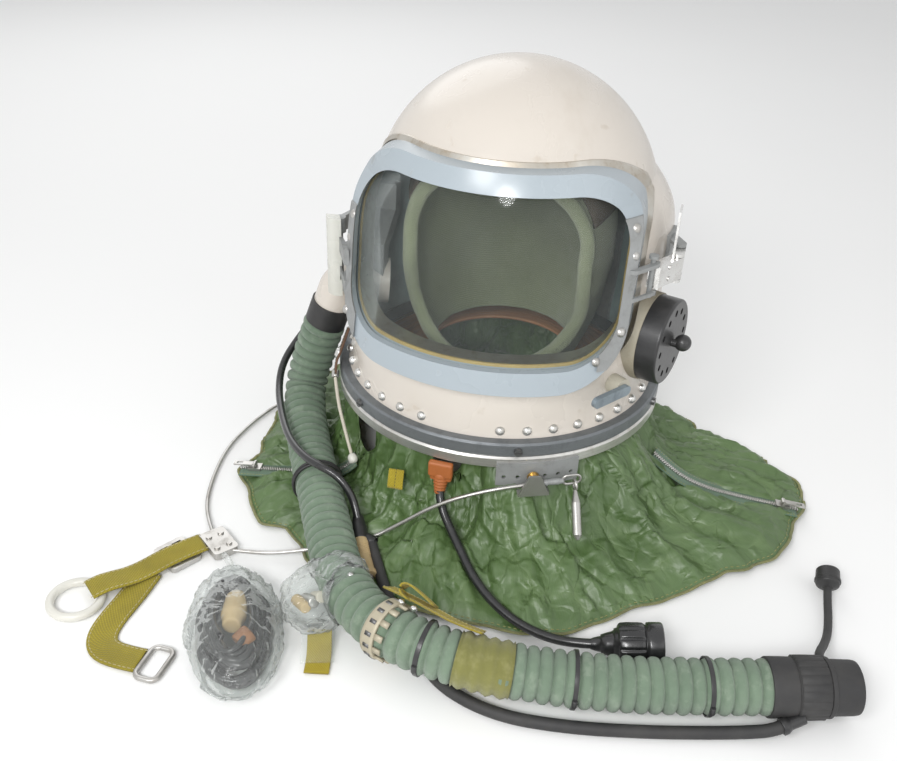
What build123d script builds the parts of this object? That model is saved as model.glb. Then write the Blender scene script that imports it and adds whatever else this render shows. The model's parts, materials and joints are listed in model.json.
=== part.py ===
from build123d import *
import math
import os
from functools import cache

# Pilot flight helmet with its collar rings, cape, breathing hose and leads.
# Millimetres. Front is -Y, the wearer's left is +X, up is +Z. The origin lies
# on the table under the middle of the neck ring.

# Collar rings
ring_radius = 135.0
ring_width = 15.0
lower_ring_base = 78.0
lower_ring_height = 10.0
ring_gap = 0.4
upper_ring_height = 11.6
ring_chamfer = 1.5
ball_radius = 2.0
ball_clearance = 0.2
ball_count = 36
stud_radius = 3.2
stud_length = 2.4
stud_slot_width = 1.2
stud_slot_depth = 0.8
stud_angles = (-40.0, 20.0, 80.0)

# Shell
shell_half_width = 127.0
shell_height_to_dome = 130.0
dome_radius = 112.5
dome_setback = 20.0
cap_rise = 36.0
shell_wall = 3.0
lining_wall = 2.4
lining_gap = 0.2
station_height_shares = (0.0, 0.23, 0.5, 0.808, 1.077, 1.2)
station_width_shares = (1.0, 0.996, 0.992, 0.988, 0.976, 0.906)
station_length_shares = (1.0, 0.992, 0.969, 0.933, 0.898, 0.866)
station_setback_shares = (0.0, 0.1, 0.35, 0.7, 0.95, 1.0)
rivet_head_radius = 4.0
rivet_head_height = 2.0
rivet_height = 6.0
rivet_first_angle = 14.0
rivet_step_angle = 9.2
rivets_per_side = 17
frame_rivet_height_shares = (0.07, 0.24, 0.76, 0.93)
frame_rivet_across_shares = (0.83, 0.955, 0.965, 0.945)

# Face opening, seat and visor
face_half_width = 109.0
face_base = 142.0
face_height = 149.0
face_upper_radius = 48.0
face_lower_radius = 40.0
frame_top_width = 14.0
frame_base_width = 17.0
frame_side_width = 7.0
frame_corner_loss = 9.0
frame_proud = 13.0
seat_flange = 1.2
seat_reach = 3.0
seat_wall = 2.0
seat_depth = 14.0
door_gap = 0.3
glass_inner = 5.0
glass_thickness = 2.5
glass_grip = 2.6
glass_gap = 0.15
gasket_width = 2.0
gasket_thickness = 1.6
prism_reach = 190.0

# Hinge on the wearer's right
hinge_x = -125.0
hinge_y = -44.0
hinge_base = 160.0
hinge_height = 62.0
hinge_pin_radius = 2.5
hinge_knuckle_radius = 5.0
hinge_bore_gap = 0.06
hinge_knuckle_count = 5
hinge_end_gap = 0.3
hinge_arm_thickness = 4.0
hinge_plate_thickness = 1.8
hinge_plate_height = 104.0
hinge_plate_width = 9.0
hinge_arm_back = 24.0
hinge_arm_side = 7.0
visor_arm_front = 32.0
visor_arm_side = 18.0
hinge_base_width = 20.0
cover_radius = 10.5
cover_wall = 1.2
cover_gap = 0.6
cover_start_angle = 190.0
cover_end_angle = 298.0

# Latch on the wearer's left
latch_pin_x = 118.5
latch_pin_y = -50.0
latch_pin_base = 198.0
latch_pin_height = 31.0
latch_pin_radius = 2.0
latch_pin_head_radius = 3.6
latch_pin_head_height = 2.4
lug_lower_height = 201.0
lug_upper_height = 223.0
lug_thickness = 3.0
lug_radius = 5.0
lug_reach_side = 12.0
lug_reach_front = 16.0
strip_width = 9.0
strip_base = 156.0
strip_height = 103.0
strip_thickness = 1.6
lever_pivot_x = 134.0
lever_pivot_y = -12.0
pivot_spacing = 12.0
lever_ear_radius = 4.6
lever_ear_thickness = 2.4
lever_pin_radius = 1.8
link_base = 204.6
link_height = 17.6
link_gap = 0.3
link_bore_gap = 0.06
link_thickness = 9.0
claw_gap = 0.8
claw_wall = 3.0
claw_cut = 14.0
link_screw_radius = 1.9
link_screw_head = 0.8
link_screw_spacing = 9.0
latch_plate_thickness = 2.4
latch_plate_width = 22.0
base_reach_side = 10.0
base_reach_back = 16.0
finger_plate_height = 34.0
finger_plate_width = 16.0
finger_plate_thickness = 1.6

# Valve and its knob
valve_angle = 75.0
valve_height = 157.5
valve_radius = 33.5
valve_face_radius = 145.5
valve_seat_radius = 129.0
valve_gasket_overhang = 1.0
valve_gasket_gap = 0.6
valve_hole_radius = 2.6
valve_hole_circle = 24.5
valve_hole_count = 12
valve_cup_depth = 14.0
valve_hub_radius = 9.0
valve_wall = 3.0
valve_edge_radius = 2.0
toggle_bore_gap = 0.06
toggle_shaft_radius = 3.0
toggle_shaft_length = 9.0
toggle_ball_radius = 6.5
toggle_offset = 4.0
toggle_rise = 4.0

# Crank beside the visor
crank_angle = 55.4
crank_height = 133.5
crank_boss_radius = 7.5
crank_boss_face = 136.0
crank_shaft_radius = 2.6
crank_bore_gap = 0.06
crank_shaft_depth = 7.0
crank_arm_length = 30.0
crank_arm_width = 8.0
crank_arm_thickness = 4.0

# Breathing inlet
elbow_outer_radius = 16.0
elbow_bore = 12.0
elbow_route = ((-108.0, -3.0, 152.0), (-137.0, -14.0, 154.0), (-145.3, -15.1, 130.2))
elbow_bend = 15.0
port_radius = 19.0
port_depth = 9.0
cuff_radius = 17.5

# Hose
hose_radius = 18.2
hose_groove_depth = 3.2
hose_bore_radius = 12.5
hose_rib_pitch = 8.9
bend_share = 0.45
rib_place_shares = (0.04, 0.24, 0.76, 0.96)
hose_side = (-1.0, -1.0, 1.0)
hose_route = (
    (-152.0, -16.0, 111.0), (-170.0, -18.5, 59.5), (-160.0, -52.0, 36.0),
    (-131.0, -103.0, 31.5), (-103.0, -150.0, 31.0), (-79.5, -190.0, 30.2), (-60.0, -222.0, 28.0),
    (-37.0, -248.0, 28.2), (-12.0, -264.5, 29.2), (19.0, -274.0, 29.4), (60.0, -273.0, 25.6),
    (105.0, -264.5, 21.2), (147.0, -256.0, 20.4), (188.0, -244.6, 20.4), (243.0, -228.0, 21.4),
)

# Front tab, pulley and tether
tab_angle = 27.0
tab_span_angle = 27.0
tab_thickness = 2.0
tab_height = 20.0
tab_rise = 6.0
tab_hole_radius = 1.6
tab_hole_rise = 8.0
tab_hole_step_angle = 4.4
tab_hole_count = 6
pulley_angle = 25.0
pulley_radius = 4.6
pulley_thickness = 5.2
pulley_groove_width = 3.6
pulley_core_radius = 3.2
pulley_inset = 2.2
pulley_floor_height = 60.8
cable_height_at_pulley = 68.7
pulley_pin_radius = 1.5
pulley_bore_gap = 0.06
pulley_side_gap = 0.3
pulley_plate_thickness = 1.8
pulley_plate_width = 24.0
cable_radius = 1.5
ferrule_radius = 2.6
ferrule_length = 15.0
eye_length = 16.0
eye_wire = 2.2
eye_width = 10.0
hook_length = 42.0
hook_along = 3.0
hook_direction = (9.0, -27.0, -24.0)
hook_radius = 3.4
hook_wire_radius = 1.2
hook_ring_radius = 4.0
hook_wire_gap = 0.35

# Room that the seat and the shell leave for the visor's corner
relief_centre = (-103.0, -26.0, 262.0)
relief_size = (44.0, 38.0, 52.0)
relief_depth = 1.0
relief_margin = 0.6
visor_swing_angle = 95.0
relief_stops_in_swing = 24
relief_stops = 13

# Neck seal and liner
seal_drop = 2.0
seal_flange_height = 6.0
seal_thickness = 2.0
seal_neck_radius = 62.0
seal_neck_height = 101.0
hood_base = 108.0
hood_height = 206.0
hood_half_width = 84.0
hood_centre_y = 12.0
hood_wall = 7.0
hood_height_shares = (0.0, 0.16, 0.4, 0.64, 0.82, 0.94, 1.0)
hood_width_shares = (0.74, 0.88, 1.0, 0.97, 0.78, 0.48, 0.2)
face_edge_half_width = 68.0
face_edge_base_rise = 8.0
face_edge_height = 160.0
face_edge_radius = 60.0
pad_radius = 34.0
pad_gap = 0.3
bracket_width = 12.0
bracket_base = 150.0
bracket_height = 80.0
bracket_inner_reach = 99.0
bracket_reach = 30.0
bracket_shares = ((-0.15, 0.0), (-0.1, 0.45), (0.25, 0.7), (0.28, 1.0))
band_angle = 142.0
band_height = 155.0
band_wall = 3.0
inner_band_width = 16.0
inner_band_length = 106.0
leather_route = (
    (-119.7, -43.0, 124.0), (-122.7, -55.0, 108.0), (-124.6, -61.2, 99.5), (-121.5, -70.0, 93.0),
)
leather_width = 13.0
leather_thickness = 2.0
leather_facing = (-0.88, -0.47, 0.0)
cord_route = (
    (-121.6, -70.2, 92.9), (-114.0, -84.5, 79.0), (-105.0, -96.0, 66.5), (-96.5, -107.0, 56.0),
    (-89.5, -115.5, 47.5),
)
cord_radius = 1.3
bead_radius = 4.0

# Leads, glands and their ends
comm_radius = 3.4
comm_route = (
    (-10.0, -134.0, 62.8), (-10.0, -136.0, 56.0), (-9.0, -140.0, 47.5), (-4.0, -146.5, 39.0),
    (5.0, -155.5, 31.0),
    (16.5, -168.0, 24.5), (31.0, -186.0, 18.6), (50.0, -202.5, 13.5), (73.0, -213.5, 9.0),
    (97.0, -220.5, 10.0), (118.5, -223.0, 14.6), (133.5, -219.5, 15.9),
)
gland_length = 20.0
gland_width = 13.0
plug_radius = 15.0
plug_length = 40.0
plug_boot_length = 10.0
plug_boot_radius = 9.0
plug_socket_radius = 11.0
plug_socket_depth = 12.0
plug_flute_count = 12
plug_flute_radius = 1.6
lead_radius = 3.2
lead_route = (
    (-146.0, 20.0, 108.0), (-160.0, 19.5, 105.5), (-173.5, 12.0, 96.5), (-183.5, -4.0, 82.5),
    (-190.0, -26.0, 68.0), (-183.5, -51.0, 57.0), (-165.5, -84.0, 53.5), (-143.0, -117.5, 55.0),
    (-122.0, -137.0, 56.5), (-106.0, -145.0, 57.0), (-91.5, -147.5, 54.5), (-80.0, -150.0, 45.0),
    (-72.5, -154.0, 33.0), (-67.0, -162.0, 23.0),
)
sleeve_radius = 6.0
sleeve_length = 34.0
tip_radius = 3.4
tip_length = 20.0
lead_gland_radius = 6.0
lead_gland_length = 26.0
splitter_radius = 6.5
splitter_side = (-7.5, -3.0, 0.3)
splitter_branch = 9.0
sleeve_direction = (12.0, -21.0, -4.5)
tube_radius = 4.2
tube_route = (
    (-53.0, -173.0, 18.0), (-46.0, -183.5, 15.5), (-38.0, -196.0, 13.0), (-28.0, -211.0, 10.5),
    (-16.5, -225.5, 7.0), (-6.0, -237.0, 5.0), (4.5, -250.0, 4.6), (18.0, -264.0, 4.6),
    (38.0, -281.5, 4.6), (76.0, -292.0, 4.7), (122.0, -287.0, 4.7), (172.0, -274.5, 4.7),
    (213.0, -262.0, 5.0), (236.0, -255.0, 6.5), (248.0, -251.5, 8.5), (256.0, -246.5, 11.0),
)
tether_radius = 3.0
cap_radius = 9.0
cap_length = 12.0
tether_route = (
    (276.0, -198.5, 23.0), (274.0, -191.0, 22.0), (276.0, -181.0, 18.0), (280.5, -167.0, 11.5),
    (284.5, -150.0, 6.0), (286.0, -130.0, 4.0), (285.5, -112.0, 5.2), (285.2, -100.0, 9.0),
)

# Hold-down cable, its plate, webbing and rings
cable_route = (
    (67.8, -124.7, 69.2), (52.0, -132.2, 68.2), (24.0, -143.0, 63.0),
    (-7.0, -151.0, 49.5), (-36.0, -156.0, 25.5), (-57.0, -164.0, 12.0), (-77.0, -176.0, 10.0),
    (-100.0, -187.5, 8.0), (-126.0, -196.5, 4.5), (-146.0, -199.6, 3.4), (-158.5, -201.6, 3.4),
)
cable_loop_route = (
    (-177.0, -191.0, 3.4), (-190.0, -176.0, 2.6), (-205.0, -152.0, 2.2), (-217.0, -113.0, 2.2),
    (-223.0, -78.0, 2.2), (-221.0, -44.0, 2.2), (-215.0, -15.0, 2.2), (-210.0, 0.0, 2.2),
    (-204.4, 7.0, 2.2),
)
plate_centre = (-169.5, -197.0)
plate_turn_angle = -36.7
plate_lift = 0.3
plate_length = 29.0
plate_width = 20.0
plate_height = 6.0
plate_corner = 3.0
plate_rivet_radius = 2.4
plate_rivet_height = 1.4
buckle_centre = (-194.0, -218.0)
buckle_turn_angle = 61.0
buckle_length = 26.0
buckle_width = 30.0
buckle_wall = 3.5
buckle_height = 4.0
web_width = 21.0
web_thickness = 2.0
web_route = (
    (-180.0, -202.7, 5.9), (-187.0, -211.0, 5.7), (-199.0, -229.0, 5.7), (-206.0, -240.0, 4.2),
    (-213.0, -251.0, 4.4), (-220.0, -261.0, 7.0), (-226.6, -270.6, 8.9), (-231.5, -277.0, 7.0),
)
tail_route = (
    (-204.0, -243.0, 1.9), (-203.0, -262.0, 1.3), (-204.5, -296.0, 1.3), (-201.0, -311.0, 1.3),
    (-192.0, -319.5, 1.3), (-174.0, -320.5, 1.3), (-164.5, -320.0, 1.8),
)
pull_ring_centre = (-238.0, -284.5)
pull_ring_radius = 18.0
pull_ring_wire = 3.2
link_ring_centre = (-162.0, -319.5)
link_ring_wire = 2.0
link_ring_length = 16.0
link_ring_width = 28.0
link_ring_bend = 5.0

# Fittings on the hose
end_cuff_radius = 19.5
end_cuff_length = 14.0
grip_radius = 21.0
grip_length = 20.0
grip_rib_count = 14
grip_rib_radius = 1.4
end_body_radius = 18.0
end_body_length = 22.0
end_bore = 12.0
side_barb_radius = 3.0
side_barb_length = 9.0
sleeve_start_share = 0.662
sleeve_end_share = 0.727
sleeve_wall = 0.9
sleeve_gap = 0.3
sleeve_steps = 8
band_at_shares = (0.628, 0.79, 0.93)
band_width = 3.2
band_thickness = 1.4
clamp_at_share = 0.572
clamp_wall = 2.0
clamp_width = 9.0
clamp_tooth_width = 4.0
clamp_tooth_length = 5.0
clamp_tooth_count = 10
strap_route = (
    (-16.0, -236.0, 38.0), (2.0, -244.5, 42.0), (22.0, -252.5, 43.4), (41.0, -259.0, 43.4),
    (58.0, -260.2, 42.0),
)
strap_width = 14.0
strap_facing = (0.0, 0.62, 0.78)

# Cape, outlined by an angle from the front, a share of its reach, and how far it spreads
cape_reach = 200.0
cape_hem = (
    (-180.0, 0.760, 1.0), (-168.0, 0.790, 1.0), (-154.0, 0.830, 1.0), (-140.0, 0.880, 1.0),
    (-126.0, 0.930, 0.8), (-112.0, 0.990, 0.4), (-100.0, 1.025, 0.0), (-90.0, 1.020, 0.0),
    (-82.0, 1.010, 0.0), (-74.0, 1.025, 0.0), (-67.0, 1.030, 0.0), (-61.0, 1.125, 0.0),
    (-54.0, 1.095, 0.0), (-48.0, 1.110, 0.0), (-43.0, 1.115, 0.0), (-38.0, 1.040, 0.0),
    (-32.0, 1.045, 0.0), (-26.0, 1.085, 0.0), (-18.0, 1.060, 0.4), (-11.0, 1.080, 0.8),
    (-4.0, 1.075, 1.0), (4.0, 1.085, 1.0), (12.0, 1.105, 1.3), (20.0, 1.145, 1.7),
    (27.0, 1.155, 1.7), (34.0, 1.130, 1.7), (42.0, 1.105, 1.7), (49.0, 1.130, 1.7),
    (56.0, 1.145, 1.7), (63.0, 1.170, 1.7), (68.0, 1.235, 1.7), (74.0, 1.295, 1.7),
    (79.0, 1.310, 1.3), (84.0, 1.310, 1.0), (90.0, 1.350, 1.0), (96.0, 1.340, 1.0),
    (103.0, 1.215, 1.0), (110.0, 1.075, 1.0), (118.0, 0.980, 1.0), (128.0, 0.920, 1.0),
    (140.0, 0.850, 1.0), (152.0, 0.800, 1.0), (164.0, 0.770, 1.0), (172.0, 0.755, 1.0),
)
cape_neck_radius = 96.0
cape_top_radius = 124.0
cape_fold = 5.0
cape_flat_share = 0.1
cape_levels = (
    (0.0, (1.0, 1.0, 1.0), 0.2), (0.02, (0.995, 0.995, 0.995), 0.2), (0.072, (0.9, 0.93, 0.94), 0.6),
    (0.15, (0.25, 0.65, 0.8), 1.6), (0.28, (0.12, 0.22, 0.5), 1.2), (0.54, (0.04, 0.06, 0.3), 0.5),
    (1.0, (0.0, 0.0, 0.0), 0.0),
)

# Zips
right_zip_route = (
    (141.0, -22.0, 43.0), (152.0, -24.0, 36.0), (168.0, -25.0, 26.5), (188.0, -25.0, 20.5),
    (217.0, -20.0, 15.0), (238.0, -16.0, 11.5), (262.0, -11.5, 7.5),
)
left_zip_route = (
    (-96.0, -92.0, 30.0), (-103.0, -95.5, 20.0), (-121.0, -98.0, 12.5), (-142.0, -100.0, 10.5),
    (-168.0, -104.0, 8.9), (-194.0, -108.0, 7.3),
)
zip_width = 13.0
tape_thickness = 0.9
chain_width = 5.0
chain_height = 3.0
slider_back = 12.0
slider_travel = 10.0
slider_length = 11.0
slider_width = 8.4
slider_wall = 1.2
slider_gap = 0.3
bridge_rise = 2.2
bridge_radius = 0.8
bridge_gap = 0.08
bridge_post = 1.4
pull_eye_radius = 1.8
pull_width = 5.0
pull_length = 18.0
pull_thickness = 1.4
pull_hole_width = 3.0

# Spare lead in a bag
bag_centre = (-112.0, -283.0)
bag_turn_angle = -62.0
bag_length = 118.0
bag_width = 66.0
bag_height = 34.0
neck_radius = 3.0
neck_route = (
    (-130.0, -256.0, 14.0), (-139.0, -239.0, 11.0), (-148.5, -216.5, 4.4), (-159.4, -208.3, 3.7),
)
bag_shares = ((0.0, 0.82), (0.12, 0.94), (0.4, 1.0), (0.75, 0.8), (1.0, 0.42))

# Derived places
precision = 4
ring_bore = ring_radius - ring_width
ring_middle = ring_radius - ring_width / 2
lower_ring_top = lower_ring_base + lower_ring_height
upper_ring_base = lower_ring_top + ring_gap
shell_base = upper_ring_base + upper_ring_height
dome_height = shell_base + shell_height_to_dome


def radial_plane(radius, angle, height):
    # A plane facing outwards, with x along the rim and y upwards.
    turn = math.radians(angle)
    return Plane(
        origin=(radius * math.sin(turn), -radius * math.cos(turn), height),
        x_dir=(math.cos(turn), math.sin(turn), 0),
        z_dir=(math.sin(turn), -math.cos(turn), 0),
    )


def between(first, second):
    # The plane at the first point that faces the second.
    start = Vector(*first)
    return Plane(origin=start, z_dir=Vector(*second) - start)


@cache
def helmet_form(growth):
    # The outside of the helmet, grown by a wall, a gap or a depth.
    cap_radius = dome_radius + growth
    with BuildPart() as form:
        for height_share, width_share, length_share, setback_share in zip(
            station_height_shares, station_width_shares,
            station_length_shares, station_setback_shares,
        ):
            station = Plane(origin=(
                0, setback_share * dome_setback, shell_base + height_share * shell_height_to_dome,
            ))
            with BuildSketch(station):
                Ellipse(
                    width_share * shell_half_width + growth,
                    length_share * shell_half_width + growth,
                )
        with BuildSketch(Plane(origin=(0, dome_setback, dome_height + cap_rise))):
            Circle(math.sqrt(cap_radius ** 2 - cap_rise ** 2))
        loft()
        with Locations((0, dome_setback, dome_height)):
            Sphere(cap_radius, arc_size1=math.degrees(math.asin(cap_rise / cap_radius)), align=None)
    return form.part


def face_prism(inset_top, inset_base, inset_side, corner_loss):
    # The outline of the face opening, run straight forwards through the wall.
    top = face_base + face_height - inset_top
    base = face_base + inset_base
    with BuildPart() as prism:
        with BuildSketch(Plane.XZ) as outline:
            with Locations((0, (top + base) / 2)):
                Rectangle(2 * (face_half_width - inset_side), top - base)
            fillet(outline.vertices().group_by(Axis.Y)[-1], face_upper_radius - corner_loss)
            fillet(outline.vertices().group_by(Axis.Y)[0], face_lower_radius - corner_loss)
        extrude(amount=prism_reach)
    return prism.part


frame_outline = face_prism(0, 0, 0, 0)
window_outline = face_prism(frame_top_width, frame_base_width, frame_side_width, frame_corner_loss)


def window_grown(amount):
    return face_prism(
        frame_top_width - amount, frame_base_width - amount,
        frame_side_width - amount, frame_corner_loss - amount,
    )


def save(piece, name):
    piece.part.label = name
    export_step(piece.part, "parts/" + name + ".step")
    print(name, round(piece.part.volume), len(piece.solids()))


os.makedirs("parts", exist_ok=True)

# Lower ring, held by the cape
with BuildPart() as lower_ring:
    with BuildSketch(Plane.XY.offset(lower_ring_base)):
        Circle(ring_radius)
        Circle(ring_bore, mode=Mode.SUBTRACT)
    extrude(amount=lower_ring_height)
    chamfer(lower_ring.edges().filter_by(GeomType.CIRCLE).sort_by(SortBy.RADIUS)[-2:], ring_chamfer)
    with Locations((0, 0, lower_ring_top + ring_gap / 2)):
        Torus(ring_middle, ball_radius + ball_clearance, mode=Mode.SUBTRACT)
save(lower_ring, "lower_ring")

# Upper ring, turning on the balls with the shell
with BuildPart() as upper_ring:
    with BuildSketch(Plane.XY.offset(upper_ring_base)):
        Circle(ring_radius)
        Circle(ring_bore, mode=Mode.SUBTRACT)
    extrude(amount=upper_ring_height)
    chamfer(upper_ring.edges().filter_by(GeomType.CIRCLE).sort_by(SortBy.RADIUS)[-2:], ring_chamfer)
    with Locations((0, 0, lower_ring_top + ring_gap / 2)):
        Torus(ring_middle, ball_radius + ball_clearance, mode=Mode.SUBTRACT)
save(upper_ring, "upper_ring")

with BuildPart() as bearing_balls:
    with Locations(Plane.XY.offset(lower_ring_top + ring_gap / 2)):
        with PolarLocations(ring_middle, ball_count):
            Sphere(ball_radius)
save(bearing_balls, "bearing_balls")

# Index studs round the upper ring
with BuildPart() as index_studs:
    for stud_angle in stud_angles:
        stud_plane = radial_plane(ring_radius, stud_angle, upper_ring_base + upper_ring_height / 2)
        with BuildSketch(stud_plane):
            Circle(stud_radius)
        extrude(amount=stud_length)
        with BuildSketch(stud_plane.offset(stud_length - stud_slot_depth)):
            Rectangle(3 * stud_radius, stud_slot_width)
        extrude(amount=stud_slot_depth, mode=Mode.SUBTRACT)
    with BuildSketch(Plane.XY.offset(upper_ring_base)):
        Circle(ring_radius)
    extrude(amount=upper_ring_height, mode=Mode.SUBTRACT)
save(index_studs, "index_studs")

# Shell
elbow_start, elbow_corner, elbow_end = elbow_route
with BuildPart() as elbow_hole:
    with BuildSketch(between(elbow_start, elbow_corner)):
        Circle(elbow_outer_radius)
    extrude(amount=(Vector(*elbow_corner) - Vector(*elbow_start)).length, both=True)

# The visor's corner behind the hinge, and its way as it swings
with BuildPart() as swing_corner:
    add(helmet_form(frame_proud + relief_margin))
    add(helmet_form(seat_flange + door_gap - relief_depth), mode=Mode.SUBTRACT)
    add(face_prism(*[-relief_margin] * 4), mode=Mode.INTERSECT)
    add(window_grown(-relief_margin), mode=Mode.SUBTRACT)
    with Locations(relief_centre):
        Box(*relief_size, mode=Mode.INTERSECT)
swing_axis = Axis((hinge_x, hinge_y, 0), (0, 0, -1))
stop_angle = visor_swing_angle / relief_stops_in_swing
swing_places = [
    swing_corner.part.rotate(swing_axis, stop * stop_angle) for stop in range(relief_stops)
]

with BuildPart() as shell:
    add(helmet_form(0))
    add(helmet_form(-shell_wall), mode=Mode.SUBTRACT)
    add(window_grown(seat_wall), mode=Mode.SUBTRACT)
    add(elbow_hole.part, mode=Mode.SUBTRACT)
    for swing_place in swing_places:
        add(swing_place, mode=Mode.SUBTRACT)
save(shell, "shell")

with BuildPart() as shell_lining:
    add(helmet_form(-shell_wall - lining_gap))
    add(helmet_form(-shell_wall - lining_gap - lining_wall), mode=Mode.SUBTRACT)
    add(window_grown(seat_wall + lining_gap), mode=Mode.SUBTRACT)
    add(elbow_hole.part, mode=Mode.SUBTRACT)
save(shell_lining, "shell_lining")

with BuildPart() as seat_rim:
    add(helmet_form(seat_flange))
    add(helmet_form(-seat_depth), mode=Mode.SUBTRACT)
    add(window_grown(seat_wall), mode=Mode.INTERSECT)
    add(window_outline, mode=Mode.SUBTRACT)

with BuildPart() as visor_seat_frame:
    add(helmet_form(seat_flange))
    add(helmet_form(0), mode=Mode.SUBTRACT)
    add(face_prism(-seat_reach, -seat_reach, -seat_reach, -seat_reach), mode=Mode.INTERSECT)
    add(window_grown(seat_wall), mode=Mode.SUBTRACT)
    add(seat_rim.part)
    for swing_place in swing_places:
        add(swing_place, mode=Mode.SUBTRACT)
save(visor_seat_frame, "visor_seat_frame")

# Shell rivets, domed heads seated on the surface
with BuildPart() as shell_rivets:
    for side in (-1, 1):
        for step in range(rivets_per_side):
            rivet_angle = side * (rivet_first_angle + step * rivet_step_angle)
            head_depth = rivet_head_radius - rivet_head_height
            head_plane = radial_plane(
                shell_half_width - head_depth, rivet_angle, shell_base + rivet_height,
            )
            with Locations(head_plane):
                Sphere(rivet_head_radius)
    add(helmet_form(0), mode=Mode.SUBTRACT)
save(shell_rivets, "shell_rivets")

# Visor frame, glass and gasket
with BuildPart() as glass_groove:
    add(helmet_form(glass_inner + glass_thickness + glass_gap))
    add(helmet_form(glass_inner - glass_gap), mode=Mode.SUBTRACT)
    add(window_grown(glass_grip + glass_gap), mode=Mode.INTERSECT)

with BuildPart() as visor_frame:
    add(helmet_form(frame_proud))
    add(helmet_form(seat_flange + door_gap), mode=Mode.SUBTRACT)
    add(frame_outline, mode=Mode.INTERSECT)
    add(window_outline, mode=Mode.SUBTRACT)
    add(glass_groove.part, mode=Mode.SUBTRACT)
save(visor_frame, "visor_frame")

with BuildPart() as visor_glass:
    add(helmet_form(glass_inner + glass_thickness))
    add(helmet_form(glass_inner), mode=Mode.SUBTRACT)
    add(window_grown(glass_grip), mode=Mode.INTERSECT)
save(visor_glass, "visor_glass")

with BuildPart() as visor_gasket:
    add(helmet_form(glass_inner - glass_gap))
    add(helmet_form(glass_inner - glass_gap - gasket_thickness), mode=Mode.SUBTRACT)
    add(window_outline, mode=Mode.INTERSECT)
    add(window_grown(-gasket_width), mode=Mode.SUBTRACT)
save(visor_gasket, "visor_gasket")

# Hinge, its pin held by the shell
knuckle_height = (hinge_height - (hinge_knuckle_count - 1) * hinge_end_gap) / hinge_knuckle_count
knuckle_step = knuckle_height + hinge_end_gap
hinge_axis = Vector(hinge_x, hinge_y)
shell_arm_end = hinge_axis + Vector(hinge_arm_side, hinge_arm_back)
visor_arm_end = hinge_axis + Vector(visor_arm_side, -visor_arm_front)


def hinge_arm(end, height):
    # An arm as tall as a knuckle, from the hinge axis to the given end.
    run = end - hinge_axis
    turn = math.degrees(math.atan2(run.Y, run.X))
    with BuildPart() as arm:
        with BuildSketch(Plane.XY.offset(height)):
            with Locations(hinge_axis + run / 2):
                Rectangle(run.length, hinge_arm_thickness, rotation=turn)
        extrude(amount=knuckle_height)
    return arm.part


def surface_patch(outer, low_corner, high_corner, inner=0.0):
    # The layer between two growths of the form, inside a box.
    low, high = Vector(*low_corner), Vector(*high_corner)
    middle, size = (low + high) / 2, high - low
    with BuildPart() as patch:
        add(helmet_form(outer))
        add(helmet_form(inner), mode=Mode.SUBTRACT)
        with Locations(middle):
            Box(size.X, size.Y, size.Z, mode=Mode.INTERSECT)
    return patch.part


with BuildPart() as hinge_bracket:
    for knuckle in range(0, hinge_knuckle_count, 2):
        knuckle_base = hinge_base + knuckle * knuckle_step
        add(hinge_arm(shell_arm_end, knuckle_base))
        with BuildSketch(Plane.XY.offset(knuckle_base)):
            with Locations(hinge_axis):
                Circle(hinge_knuckle_radius)
        extrude(amount=knuckle_height)
    with BuildSketch(Plane.XY.offset(hinge_base)):
        with Locations(hinge_axis):
            Circle(hinge_pin_radius)
    extrude(amount=hinge_height)
    add(helmet_form(0), mode=Mode.SUBTRACT)
    add(surface_patch(
        hinge_plate_thickness,
        (hinge_x - ring_width, shell_arm_end.Y - hinge_base_width / 2, hinge_base - hinge_arm_thickness),
        (0, shell_arm_end.Y + hinge_base_width / 2, hinge_base + hinge_height + hinge_arm_thickness),
    ))
    with BuildSketch(between(elbow_start, elbow_corner)):
        Circle(elbow_outer_radius + sleeve_gap)
    extrude(amount=2 * port_depth + elbow_outer_radius, both=True, mode=Mode.SUBTRACT)
save(hinge_bracket, "hinge_bracket")

# Hinge strip on the visor frame, with its knuckles
strip_growth = frame_proud + hinge_plate_thickness
strip_edge = face_half_width - hinge_plate_width
hinge_plate_base = hinge_base + hinge_height / 2 - hinge_plate_height / 2
with BuildPart() as hinge_strip:
    add(surface_patch(
        strip_growth,
        (-face_half_width, -prism_reach, hinge_plate_base),
        (-strip_edge + frame_side_width, 0, hinge_plate_base + hinge_plate_height),
        frame_proud,
    ))
    add(frame_outline, mode=Mode.INTERSECT)
    add(window_outline, mode=Mode.SUBTRACT)
    for knuckle in range(1, hinge_knuckle_count, 2):
        knuckle_base = hinge_base + knuckle * knuckle_step
        add(hinge_arm(visor_arm_end, knuckle_base))
        with BuildSketch(Plane.XY.offset(knuckle_base)):
            with Locations(hinge_axis):
                Circle(hinge_knuckle_radius)
        extrude(amount=knuckle_height)
    add(helmet_form(frame_proud), mode=Mode.SUBTRACT)
    with BuildSketch(Plane.XY.offset(hinge_base)):
        with Locations(hinge_axis):
            Circle(hinge_pin_radius + hinge_bore_gap)
    extrude(amount=hinge_height, mode=Mode.SUBTRACT)
save(hinge_strip, "hinge_strip")

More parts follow.
